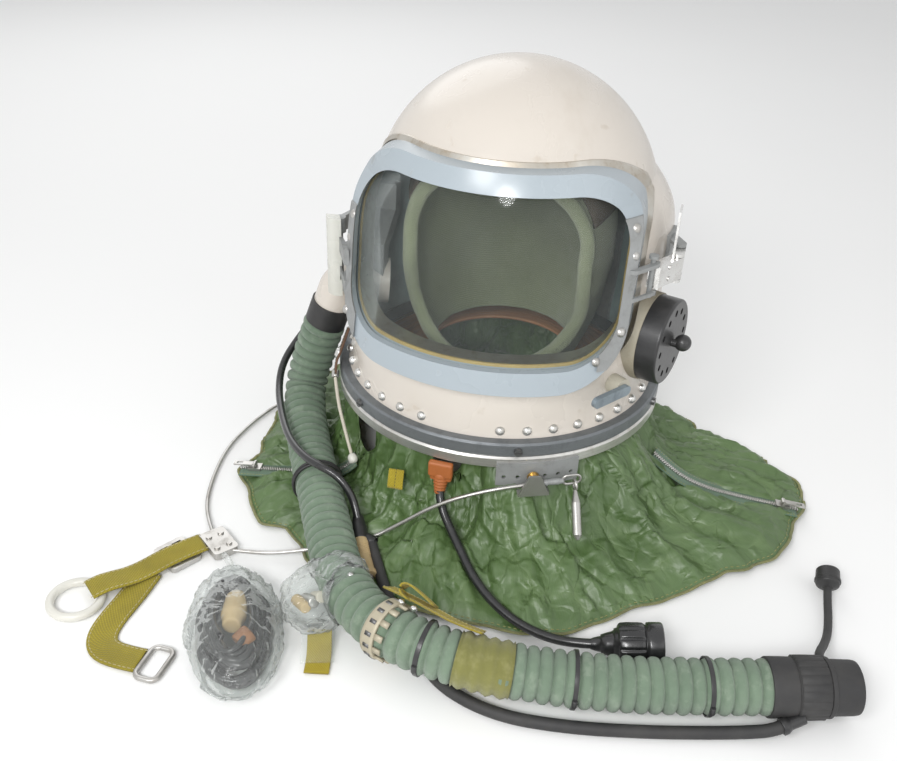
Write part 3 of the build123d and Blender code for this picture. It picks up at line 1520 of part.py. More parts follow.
slider_floor = tape_thickness / 2 + slider_gap
slider_roof = chain_height / 2 + slider_gap
bridge_height = slider_roof + slider_wall + bridge_rise
for zip_name, zip_route in (("right", right_zip_route), ("left", left_zip_route)):
    slider_plane = zip_plane(zip_route)
    with BuildPart() as zip_slider:
        with BuildSketch(slider_plane.offset(slider_floor)):
            Rectangle(slider_length, slider_width)
        extrude(amount=slider_roof + slider_wall - slider_floor)
        with BuildSketch(slider_plane.offset(slider_floor)):
            Rectangle(2 * slider_length, chain_width + 2 * slider_gap)
        extrude(amount=slider_roof - slider_floor, mode=Mode.SUBTRACT)
        with BuildSketch(slider_plane.offset(slider_roof)):
            with GridLocations(0, slider_width - bridge_post, 1, 2):
                Rectangle(bridge_post, bridge_post)
        extrude(amount=slider_wall + bridge_rise + bridge_radius)
        with BuildSketch(Plane(
            origin=slider_plane.origin + slider_plane.z_dir * bridge_height
            - slider_plane.y_dir * slider_width / 2, z_dir=slider_plane.y_dir,
        )):
            Circle(bridge_radius)
        extrude(amount=slider_width)
    save(zip_slider, "zip_slider_" + zip_name)

    with BuildPart() as zip_pull:
        with BuildSketch(Plane(
            origin=slider_plane.origin + slider_plane.z_dir * bridge_height
            - slider_plane.y_dir * pull_width / 2,
            x_dir=slider_plane.x_dir, z_dir=slider_plane.y_dir,
        )):
            Circle(pull_eye_radius)
            with Locations((pull_length / 2, 0)):
                Rectangle(pull_length, pull_thickness)
            Circle(bridge_radius + bridge_gap, mode=Mode.SUBTRACT)
        extrude(amount=pull_width)
        with BuildSketch(slider_plane.offset(bridge_height - pull_thickness)):
            with Locations((pull_length - pull_width, 0)):
                RectangleRounded(pull_width, pull_hole_width, pull_hole_width / 3)
        extrude(amount=2 * pull_thickness, mode=Mode.SUBTRACT)
    save(zip_pull, "zip_pull_" + zip_name)

# Cape, a folded skirt from the ring down to its hem, open at the neck
def cape_outline(level):
    # The corners of the skirt at a level, alternately in and out.
    height_share, spread_column, fold_share = level
    corners = []
    for place, (angle, reach_share, ease) in enumerate(cape_hem):
        spread = spread_column[0] + min(ease, 1) * (spread_column[1] - spread_column[0])
        spread += max(ease - 1, 0) * (spread_column[2] - spread_column[1])
        reach = cape_top_radius + spread * (reach_share * cape_reach - cape_top_radius)
        reach += (-1) ** place * fold_share * cape_fold * min(1, ease + cape_flat_share)
        turn = math.radians(angle)
        corners.append((reach * math.sin(turn), -reach * math.cos(turn)))
    return height_share * cape_height, corners


cape_height = lower_ring_base
with BuildPart() as cape:
    for cape_level in cape_levels:
        level_height, level_corners = cape_outline(cape_level)
        with BuildSketch(Plane.XY.offset(level_height)):
            with BuildLine():
                Polyline(*level_corners, close=True)
            make_face()
    loft(ruled=True)
    with BuildSketch(Plane.XY):
        Circle(cape_neck_radius)
    extrude(amount=cape_height, mode=Mode.SUBTRACT)
    for zip_route in (right_zip_route, left_zip_route):
        add(zip_room(zip_route), mode=Mode.SUBTRACT)
save(cape, "cape")

# Spare lead in its bag
with BuildPart() as spare_lead_bag:
    for height_share, size_share in bag_shares:
        bag_plane = Plane(origin=(bag_centre[0], bag_centre[1], height_share * bag_height))
        with BuildSketch(bag_plane.rotated((0, 0, bag_turn_angle))):
            Ellipse(size_share * bag_length / 2, size_share * bag_width / 2)
    loft(ruled=True)
    add(route_tube(neck_route, neck_radius, "bag neck"))
save(spare_lead_bag, "spare_lead_bag")
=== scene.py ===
import bisect
import json
import math
import random
import bmesh
import bpy
from mathutils import Matrix, Vector, noise

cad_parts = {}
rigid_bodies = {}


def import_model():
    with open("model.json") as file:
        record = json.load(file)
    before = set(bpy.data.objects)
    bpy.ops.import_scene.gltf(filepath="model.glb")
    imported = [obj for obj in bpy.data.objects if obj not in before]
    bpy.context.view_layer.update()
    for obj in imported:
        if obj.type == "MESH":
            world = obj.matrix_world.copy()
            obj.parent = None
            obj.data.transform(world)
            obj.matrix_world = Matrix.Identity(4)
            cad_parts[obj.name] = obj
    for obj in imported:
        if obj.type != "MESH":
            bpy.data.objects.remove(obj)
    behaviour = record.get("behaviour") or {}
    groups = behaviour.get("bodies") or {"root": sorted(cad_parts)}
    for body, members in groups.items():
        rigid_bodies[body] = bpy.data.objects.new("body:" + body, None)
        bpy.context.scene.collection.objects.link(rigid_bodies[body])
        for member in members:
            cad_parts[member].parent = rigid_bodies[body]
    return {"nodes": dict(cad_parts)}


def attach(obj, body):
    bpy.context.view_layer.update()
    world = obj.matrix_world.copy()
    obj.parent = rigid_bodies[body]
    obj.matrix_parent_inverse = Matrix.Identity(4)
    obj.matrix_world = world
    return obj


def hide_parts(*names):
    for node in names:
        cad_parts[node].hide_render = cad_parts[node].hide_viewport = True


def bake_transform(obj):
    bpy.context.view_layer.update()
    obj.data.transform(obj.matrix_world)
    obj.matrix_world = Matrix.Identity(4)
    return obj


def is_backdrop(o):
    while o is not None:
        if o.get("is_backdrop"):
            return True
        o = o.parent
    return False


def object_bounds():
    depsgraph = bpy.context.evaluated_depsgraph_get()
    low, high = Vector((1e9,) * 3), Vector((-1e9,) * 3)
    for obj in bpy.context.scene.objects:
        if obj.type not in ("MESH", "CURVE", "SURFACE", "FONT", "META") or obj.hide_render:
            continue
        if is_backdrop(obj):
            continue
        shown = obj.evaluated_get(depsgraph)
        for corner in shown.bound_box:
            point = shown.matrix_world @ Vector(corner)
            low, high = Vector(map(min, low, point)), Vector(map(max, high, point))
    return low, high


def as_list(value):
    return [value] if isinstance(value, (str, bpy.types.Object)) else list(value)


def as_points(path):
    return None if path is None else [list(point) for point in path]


for startObject in list(bpy.data.objects):
    bpy.data.objects.remove(startObject)
noise.seed_set(4)
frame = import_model()
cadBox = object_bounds()
nodes = frame["nodes"]
mm = 0.001
tau = 2 * math.pi
upwards = Vector((0, 0, 1))
print("frame loaded:", len(nodes), "nodes")


def linked(name, data):
    piece = bpy.data.objects.new(name, data)
    bpy.context.scene.collection.objects.link(piece)
    return piece


# Camera, at the place the collar rings' ellipse gives

cameraView = {
    "eye": (0.1535, -0.7222, 0.5251), "lens": 40.13,
    "right": (0.9583, 0.2836, 0.0338), "down": (0.1766, -0.4956, -0.8504), "forward": (-0.2244, 0.821, -0.525),
}


def makeCamera(view):
    data = bpy.data.cameras.new("camera")
    data.lens = view["lens"]
    data.sensor_width = 36
    data.clip_start, data.clip_end = 0.02, 20
    camera = linked("camera", data)
    axes = Matrix((Vector(view["right"]), -Vector(view["down"]), -Vector(view["forward"])))
    camera.matrix_world = Matrix.Translation(view["eye"]) @ axes.transposed().to_4x4()
    bpy.context.scene.camera = camera


makeCamera(cameraView)


# Mesh tools

def turnsOf(count):
    return [tau * k / count for k in range(count)]


def spoke(side, up, turn, reach=1.0):
    return (side * math.cos(turn) + up * math.sin(turn)) * reach


def millimetres(*values):
    return tuple(value * mm for value in values)


def meshPiece(name, points, faces, uvs=None):
    data = bpy.data.meshes.new(name)
    data.from_pydata([tuple(point) for point in points], [], faces)
    if uvs:
        layer = data.uv_layers.new(name="along")
        for loop in data.loops:
            layer.data[loop.index].uv = uvs[loop.vertex_index]
    data.polygons.foreach_set("use_smooth", [True] * len(data.polygons))
    data.update()
    return linked(name, data)


def gridPiece(name, rows, closedRows=False, closedColumns=False, capEnds=False, uvs=None):
    # rows of points, joined into one surface; a seam in the uv map keeps its own column
    count = len(rows[0])
    lastRow = len(rows) if closedColumns else len(rows) - 1
    lastPlace = count if closedRows else count - 1
    faces = []
    for row in range(lastRow):
        here, ahead = row * count, (row + 1) % len(rows) * count
        for place in range(lastPlace):
            beside = (place + 1) % count
            faces.append((here + place, here + beside, ahead + beside, ahead + place))
    if capEnds:
        faces.append(tuple(reversed(range(count))))
        faces.append(tuple(range((len(rows) - 1) * count, len(rows) * count)))
    flat = [uv for row in uvs for uv in row] if uvs else None
    piece = meshPiece(name, [point for row in rows for point in row], faces, flat)
    if uvs and closedRows:
        layer = piece.data.uv_layers["along"]
        for polygon in piece.data.polygons[:lastRow * lastPlace]:
            corners = [layer.data[k] for k in polygon.loop_indices]
            across = [corner.uv[0] for corner in corners]
            if max(across) - min(across) > 0.5:
                for corner in corners:
                    if corner.uv[0] < 0.5:
                        corner.uv = (corner.uv[0] + 1, corner.uv[1])
    return piece


def turnOutwards(piece):
    work = bmesh.new()
    work.from_mesh(piece.data)
    bmesh.ops.remove_doubles(work, verts=work.verts, dist=1e-6)
    bmesh.ops.recalc_face_normals(work, faces=work.faces)
    work.to_mesh(piece.data)
    work.free()
    return piece


def bake(piece):
    # the evaluated mesh takes the place of the piece's own, and its modifiers go
    graph = bpy.context.evaluated_depsgraph_get()
    data = bpy.data.meshes.new_from_object(piece.evaluated_get(graph), depsgraph=graph)
    piece.modifiers.clear()
    piece.data = data
    return piece


def thicken(piece, thickness, offset=-1):
    modifier = piece.modifiers.new("solidify", "SOLIDIFY")
    modifier.thickness, modifier.offset = thickness, offset
    return bake(piece)


def joined(name, pieces):
    slots = list(dict.fromkeys(material for piece in pieces for material in piece.data.materials))
    data = bpy.data.meshes.new(name)
    work = bmesh.new()
    for piece in pieces:
        before = len(work.faces)
        work.from_mesh(piece.data)
        work.faces.ensure_lookup_table()
        own = list(piece.data.materials)
        for face in work.faces[before:]:
            if own:
                face.material_index = slots.index(own[min(face.material_index, len(own) - 1)])
    work.to_mesh(data)
    work.free()
    for material in slots:
        data.materials.append(material)
    for piece in pieces:
        bpy.data.objects.remove(piece)
    return linked(name, data)


class Path:
    # points on a line, with a frame that turns as little as it can along it
    def __init__(self, points, upright=upwards):
        self.points = [Vector(point) for point in points]
        self.lengths = [0.0]
        for first, second in zip(self.points, self.points[1:]):
            self.lengths.append(self.lengths[-1] + (second - first).length)
        self.length = self.lengths[-1]
        last = len(self.points) - 1
        self.along = [(self.points[min(k + 1, last)] - self.points[max(k - 1, 0)]).normalized()
                      for k in range(last + 1)]
        self.side = [self.along[0].cross(Vector(upright)).normalized()]
        for along in self.along[1:]:
            side = self.side[-1] - along * self.side[-1].dot(along)
            self.side.append(side.normalized())

    def at(self, distance):
        # point, direction, side and up at a distance from the start
        distance = min(max(distance, 0), self.length)
        high = bisect.bisect_right(self.lengths, distance, 1, len(self.lengths) - 1)
        low = high - 1
        span = self.lengths[high] - self.lengths[low]
        share = (distance - self.lengths[low]) / span if span else 0
        point, along, side = (
            line[low].lerp(line[high], share) for line in (self.points, self.along, self.side))
        along.normalize()
        side = (side - along * side.dot(along)).normalized()
        return point, along, side, side.cross(along)


def splinePath(route):
    # a smooth line with the route's points, in millimetres, as its control points
    data = bpy.data.curves.new("line", "CURVE")
    data.dimensions = "3D"
    data.resolution_u = 10
    spline = data.splines.new("NURBS")
    spline.points.add(len(route) - 1)
    for point, place in zip(spline.points, route):
        point.co = (*millimetres(*place), 1)
    spline.order_u = 3
    spline.use_endpoint_u = True
    curve = linked("line", data)
    bpy.context.view_layer.update()
    line = bpy.data.meshes.new_from_object(curve)
    points = [vertex.co.copy() for vertex in line.vertices]
    bpy.data.objects.remove(curve)
    bpy.data.meshes.remove(line)
    return Path(points)


def ringOf(centre, side, up, radius, around, unit=1.0):
    # the radius is a number or a function of the turn
    return [centre + spoke(side, up, turn, (radius(turn) if callable(radius) else radius) * unit)
            for turn in turnsOf(around)]


def sweep(name, path, stations, around, capEnds=True):
    # stations: (distance, radius) along the path
    rows, uvs = [], []
    for distance, radius in stations:
        point, along, side, up = path.at(distance)
        point = point + along * (min(distance, 0) + max(distance - path.length, 0))
        rows.append(ringOf(point, side, up, radius, around))
        uvs.append([(k / around, distance) for k in range(around)])
    return gridPiece(name, rows, closedRows=True, capEnds=capEnds, uvs=uvs)


def rounded(profile, radius, steps=4):
    # the profile with its inner corners turned into short arcs
    result = [profile[0]]
    for before, corner, after in zip(profile, profile[1:], profile[2:]):
        first, second, third = (Vector((*place, 0)) for place in (before, corner, after))
        cut = min(radius, (first - second).length / 2.2, (third - second).length / 2.2)
        start, end = (second + (place - second).normalized() * cut if cut else second
                      for place in (first, third))
        for step in range(steps + 1):
            share = step / steps
            place = start.lerp(second, share).lerp(second.lerp(end, share), share)
            result.append((place.x, place.y))
    return result + [profile[-1]]


def revolve(name, axes, stations, around):
    # rings round a straight axis; stations: (distance along, radius), in millimetres
    origin, along, side, up = axes
    rows = [ringOf(origin + along * (distance * mm), side, up, radius, around, mm)
            for distance, radius in stations]
    uvs = [[(k / around, distance * mm) for k in range(around)] for distance, _ in stations]
    return gridPiece(name, rows, closedRows=True, uvs=uvs)


def lathe(name, origin, direction, profile, soften, around, finish, steps=4):
    along = Vector(direction).normalized()
    side = along.orthogonal().normalized()
    axes = (Vector(origin), along, side, along.cross(side))
    stations = rounded(profile, soften, steps) if soften else profile
    return paint(revolve(name, axes, stations, around), finish)


def fluted(stations, swell):
    # stations with a third number, the share of the swell that their radius takes
    return [(distance, lambda turn, radius=radius, share=share: radius + share * swell(turn))
            for distance, radius, share in stations]


def prism(name, outline, half, rise=0.0):
    # the outline, in millimetres, between two flat faces
    count = len(outline)
    faces = [tuple(reversed(range(count))), tuple(range(count, 2 * count))]
    faces += [(k, (k + 1) % count, (k + 1) % count + count, k + count) for k in range(count)]
    return meshPiece(name, [millimetres(x, y, z * half + rise) for z in (-1, 1) for x, y in outline], faces)


# Shader tools

class Signal:
    # a socket of a node tree that takes part in plain sums
    def __init__(self, tree, socket):
        self.tree, self.socket = tree, socket

    def maths(self, operation, *values):
        return makeNode(self.tree, "ShaderNodeMath", {"operation": operation}, dict(enumerate(values)))

    def clamp(self, low=0.0, high=1.0):
        return makeNode(self.tree, "ShaderNodeClamp", {}, {0: self, 1: low, 2: high})

    def above(self, edge, softness=0.05):
        # 0 below the edge, 1 above it, with a soft step
        return makeNode(self.tree, "ShaderNodeMapRange", {"interpolation_type": "SMOOTHSTEP"}, {
            0: self, 1: edge - softness, 2: edge + softness, 3: 0.0, 4: 1.0,
        })


for sign, operation in (("add", "ADD"), ("sub", "SUBTRACT"), ("mul", "MULTIPLY"), ("truediv", "DIVIDE")):
    setattr(Signal, f"__{sign}__", lambda self, other, kind=operation: self.maths(kind, self, other))
    setattr(Signal, f"__r{sign}__", lambda self, other, kind=operation: self.maths(kind, other, self))
for word, operation in (("sine", "SINE"), ("root", "SQRT"), ("size", "ABSOLUTE")):
    setattr(Signal, word, lambda self, kind=operation: self.maths(kind, self))


def makeNode(tree, kind, settings, inputs, output=0):
    node = tree.nodes.new(kind)
    for key, value in settings.items():
        setattr(node, key, value)
    for key, value in inputs.items():
        socket = node.inputs[key]
        if isinstance(value, Signal):
            tree.links.new(value.socket, socket)
        elif isinstance(value, tuple) and len(value) == 3 and socket.type == "RGBA":
            socket.default_value = (*value, 1)
        else:
            socket.default_value = value
    return Signal(tree, node.outputs[output])


class Finish:
    # one material, with the patterns that its colour, roughness and relief are made of
    def __init__(self, name):
        self.material = bpy.data.materials.new(name)
        self.material.use_nodes = True
        self.tree = self.material.node_tree
        self.tree.nodes.clear()
        self.place = self.node("TexCoord", output="Object")

    def node(self, kind, settings=None, inputs=None, output=0):
        return makeNode(self.tree, "ShaderNode" + kind, settings or {}, inputs or {}, output)

    def uv(self):
        return self.parts(self.node("UVMap", {"uv_map": "along"}))[:2]

    def parts(self, vector):
        node = self.tree.nodes.new("ShaderNodeSeparateXYZ")
        self.tree.links.new(vector.socket, node.inputs[0])
        return [Signal(self.tree, socket) for socket in node.outputs]

    def vector(self, x, y, z=0.0):
        return self.node("CombineXYZ", {}, {0: x, 1: y, 2: z})

    def vectors(self, operation, first, second, output=0, key=1):
        return self.node("VectorMath", {"operation": operation}, {0: first, key: second}, output)

    def noise(self, scale, detail=3.0, roughness=0.5, distortion=0.0, vector=None, output=0):
        return self.node("TexNoise", {}, {
            "Vector": vector or self.place, "Scale": scale, "Detail": detail,
            "Roughness": roughness, "Distortion": distortion,
        }, output)

    def cells(self, scale, feature="F1", vector=None, output=0):
        return self.node("TexVoronoi", {"feature": feature}, {
            "Vector": vector or self.place, "Scale": scale, "Randomness": 1.0,
        }, output)

    def lean(self, vector, scale):
        # a slope of its own in every cell, nought at the cell's middle
        middle = self.cells(scale, vector=vector, output="Position")
        colour = Signal(self.tree, middle.socket.node.outputs["Color"])
        tilt = self.vectors("SUBTRACT", colour, (0.5, 0.5, 0.5))
        return self.vectors("DOT_PRODUCT", self.vectors("SUBTRACT", vector, middle), tilt, "Value")

    def stripes(self, signal, pitch):
        # a sine of the signal, from 0 to 1, once per pitch
        return (signal * (tau / pitch)).sine() * 0.5 + 0.5

    def mix(self, factor, first, second, blend="MIX"):
        return self.node("Mix", {"data_type": "RGBA", "blend_type": blend}, {0: factor, 6: first, 7: second}, 2)

    def shade(self, colour, signal, strength):
        # the colour, darker and lighter with the signal
        value = (signal - 0.5) * strength + 1.0
        grey = self.node("CombineColor", {}, {0: value, 1: value, 2: value})
        return self.mix(1.0, colour, grey, "MULTIPLY")

    def bump(self, height, distance, strength=1.0):
        return self.node("Bump", {}, {"Height": height, "Distance": distance, "Strength": strength})

    def surface(self, **inputs):
        values = {key.replace("_", " "): value for key, value in inputs.items()}
        return self.output(self.node("BsdfPrincipled", {}, values))

    def output(self, shader):
        node = self.tree.nodes.new("ShaderNodeOutputMaterial")
        self.tree.links.new(shader.socket, node.inputs[0])
        return self.material


# Finishes: each takes its material, a main colour and a second one, then what is its own

def enamel(f, colour, dirt, wear):
    cloud = f.noise(9, 4, 0.6)
    speck = f.cells(260).above(0.08, 0.03)
    streak = f.noise(3.5, 6, 0.7, 0.6)
    grime = streak.above(0.62 - 0.1 * wear, 0.09) * 0.22 + f.noise(70, 2).above(0.72, 0.05) * 0.25
    tinted = f.mix(grime.clamp(), f.shade(colour, cloud, 0.08), dirt)
    tinted = f.mix((1 - speck) * 0.22 * f.noise(14, 2).above(0.6), tinted, dirt)
    ripple = f.noise(55, 2, 0.4) + f.noise(420, 2) * 0.12
    return f.surface(Base_Color=tinted, Roughness=cloud * 0.1 + grime * 0.35 + 0.22, Coat_Weight=0.2,
                     Coat_Roughness=0.2, Normal=f.bump(ripple, 0.0005, 0.35))


def metal(f, colour, dark, rough, metallic=0.9, grain=0, turned=False):
    cloud = f.noise(24, 5, 0.65)
    stain = f.noise(95, 4, 0.7).above(0.6, 0.12)
    relief = f.noise(700, 3, 0.6) * 0.5
    if turned:
        x, y, z = f.parts(f.place)
        stretched = f.vector((x * x + y * y).root() * 900, z * 900, x.maths("ARCTAN2", x, y) * 3)
        lines = f.noise(1.0, 3, 0.6, 0, stretched)
        relief = relief * 0.4 + lines
        cloud = cloud * 0.6 + lines * 0.4
    if grain:
        relief = relief + f.noise(grain, 4, 0.7) * 2
    base = f.mix(cloud.above(0.5, 0.3) * 0.55 + stain * 0.3, colour, dark)
    return f.surface(Base_Color=base, Metallic=metallic, Roughness=cloud * 0.22 + stain * 0.15 + rough - 0.1,
                     Normal=f.bump(relief, 0.00018, 0.6))


def rubber(f, colour, worn, rough=0.45, bloom=0.35, coat=0.0):
    cloud = f.noise(28, 5, 0.6)
    dust = f.noise(150, 4, 0.7).above(0.6, 0.1) * f.noise(18, 2).above(0.45, 0.2)
    base = f.mix(cloud.above(0.55, 0.25) * bloom + dust * 0.3, colour, worn)
    return f.surface(Base_Color=base, Roughness=cloud * 0.2 + dust * 0.25 + rough - 0.08, Coat_Weight=coat,
                     Coat_Roughness=0.2, Normal=f.bump(f.noise(240, 3, 0.6) + f.noise(40, 2) * 0.8, 0.0003, 0.5))


def ribbedCloth(f, colour, dark, light, across, along):
    # a plain weave on the piece's own uv map: u once round, v in metres along
    u, v = f.uv()
    warp, weft = f.stripes(u, across), f.stripes(v, along)
    weave = warp * weft + (1 - warp) * (1 - weft)
    rub = f.noise(90, 4, 0.7)
    base = f.mix(f.noise(30, 5, 0.65).above(0.52, 0.25) * 0.7, f.shade(colour, weave, 0.35), dark)
    base = f.mix(rub.above(0.6, 0.1) * 0.45, base, light)
    return f.surface(Base_Color=base, Roughness=0.86 - 0.1 * rub, Sheen_Weight=0.25, Sheen_Roughness=0.5,
                     Normal=f.bump(weave * 0.8 + f.noise(600, 3) * 0.5 + f.noise(120, 3) * 1.2, 0.0004, 0.7))


def knit(f, colour, dark, pitch):
    u, v = f.uv()
    course = v + (u * (tau / pitch)).sine().size() * pitch * 0.35
    loops = f.stripes(course, pitch * 0.8) * (f.stripes(u, pitch / 2) * 0.6 + 0.4)
    base = f.mix(f.noise(22, 4, 0.6).above(0.5, 0.3) * 0.6, f.shade(colour, loops, 0.55), dark)
    return f.surface(Base_Color=base, Roughness=0.9, Sheen_Weight=0.3, Sheen_Roughness=0.5,
                     Normal=f.bump(loops + f.noise(900, 2) * 0.5, 0.0006, 0.8))


def nylon(f, colour, dark, light):
    # thin proofed cloth with a square rip-stop grid and many small creases, with a painted highlight of the light
    # colour along the creases
    x, y, z = f.parts(f.place)
    reach = (x * x + y * y).root()
    polar = f.vector(x / reach * 0.16, y / reach * 0.16, (reach - z) * 0.4)
    broad, narrow = (f.vectors("ADD", polar, f.vectors("SCALE", f.noise(size, output=1), amount, key=3))
                     for size, amount in ((9, 0.05), (20, 0.03)))
    crease, fine = f.cells(30, "DISTANCE_TO_EDGE", broad), f.cells(75, "DISTANCE_TO_EDGE", narrow)
    u, v = f.uv()
    grid = f.stripes(u, 0.0011) * f.stripes(v, 0.0011)
    cloud = f.noise(11, 5, 0.6)
    # painted highlight: the light colour is laid along the crease lines, where the satin cloth catches the light
    creaseHighlight = (1 - (crease * 9).clamp()) * 0.5 + (1 - (fine * 9).clamp()) * 0.3
    base = f.mix(cloud.above(0.5, 0.25) * 0.6, colour, dark)
    base = f.shade(f.mix(creaseHighlight * 0.5 * f.noise(35, 3).above(0.45, 0.2), base, light), grid, 0.12)
    # each facet of the crumpled cloth leans its own way and fades out at its creases
    leaning = f.lean(broad, 30) * (crease * 5).clamp() + f.lean(narrow, 75) * (fine * 5).clamp() * 0.7
    relief = (crease * 7).clamp() * 0.8 + (fine * 8).clamp() * 0.4 + grid * 0.03 + leaning * 260
    return f.surface(Base_Color=base, Roughness=cloud * 0.14 + 0.36, Specular_IOR_Level=0.7,
                     Normal=f.bump(relief, 0.0018, 0.7))


def webCloth(f, colour, dark, rib=0.0016):
    u, v = f.uv()
    twill = f.stripes(u + v * 0.8, rib) * 0.7 + f.stripes(v, rib * 0.7) * 0.3
    base = f.mix(f.noise(35, 5, 0.6).above(0.52, 0.2) * 0.55, f.shade(colour, twill, 0.45), dark)
    return f.surface(Base_Color=base, Roughness=0.84, Sheen_Weight=0.2, Sheen_Roughness=0.5,
                     Normal=f.bump(twill + f.noise(500, 3) * 0.6, 0.0004, 0.8))


def leather(f, colour, worn):
    pores = f.cells(900, "DISTANCE_TO_EDGE")
    cloud = f.noise(60, 5, 0.65)
    return f.surface(Base_Color=f.mix(cloud.above(0.55, 0.2) * 0.6, colour, worn), Roughness=cloud * 0.25 + 0.4,
                     Normal=f.bump((pores * 5).clamp() + f.noise(200, 3), 0.0003, 0.7))


def felt(f, colour, dark):
    base = f.mix(f.noise(26, 5, 0.7).above(0.5, 0.2) * 0.8, colour, dark)
    return f.surface(Base_Color=base, Roughness=0.95, Sheen_Weight=0.3, Sheen_Roughness=0.6,
                     Normal=f.bump(f.noise(420, 5, 0.75), 0.0008, 0.8))


def clearSheet(f, tint, haze, rough, crumple, rim):
    # looks through, with reflections at its edges and a little haze
    smear = f.noise(18, 4, 0.6).above(0.55, 0.2)
    relief = f.noise(30, 3, 0.5) * crumple + f.noise(90, 3, 0.6) * crumple * 0.5
    normal = f.bump(relief, 0.002, 0.8 if crumple else 0.0)
    gloss = f.node("BsdfPrincipled", {}, {
        "Base Color": tint, "Roughness": smear * 0.1 + rough, "IOR": 1.5, "Specular IOR Level": 1.0,
        "Coat Weight": 1.0, "Normal": normal,
    })
    clear = f.node("BsdfTransparent", {}, {0: (0.98, 0.99, 0.985)})
    edge = f.node("LayerWeight", {}, {"Blend": 0.2, "Normal": normal})
    share = (edge * rim + smear * haze * 0.5 + haze).clamp(0, 0.9)
    return f.output(f.node("MixShader", {}, {0: share, 1: clear, 2: gloss}))


def plastic(f, colour, worn, rough=0.35, alpha=1.0):
    cloud = f.noise(40, 4, 0.6)
    scuff = f.noise(160, 5, 0.8, 1.5).above(0.66, 0.05)
    base = f.mix(cloud.above(0.55, 0.25) * 0.3 + scuff * 0.3, colour, worn)
    return f.surface(Base_Color=base, Roughness=cloud * 0.15 + scuff * 0.2 + rough - 0.05, Alpha=alpha,
                     Coat_Weight=0.2, Coat_Roughness=0.15, Normal=f.bump(f.noise(300, 3, 0.5), 0.0002, 0.5))


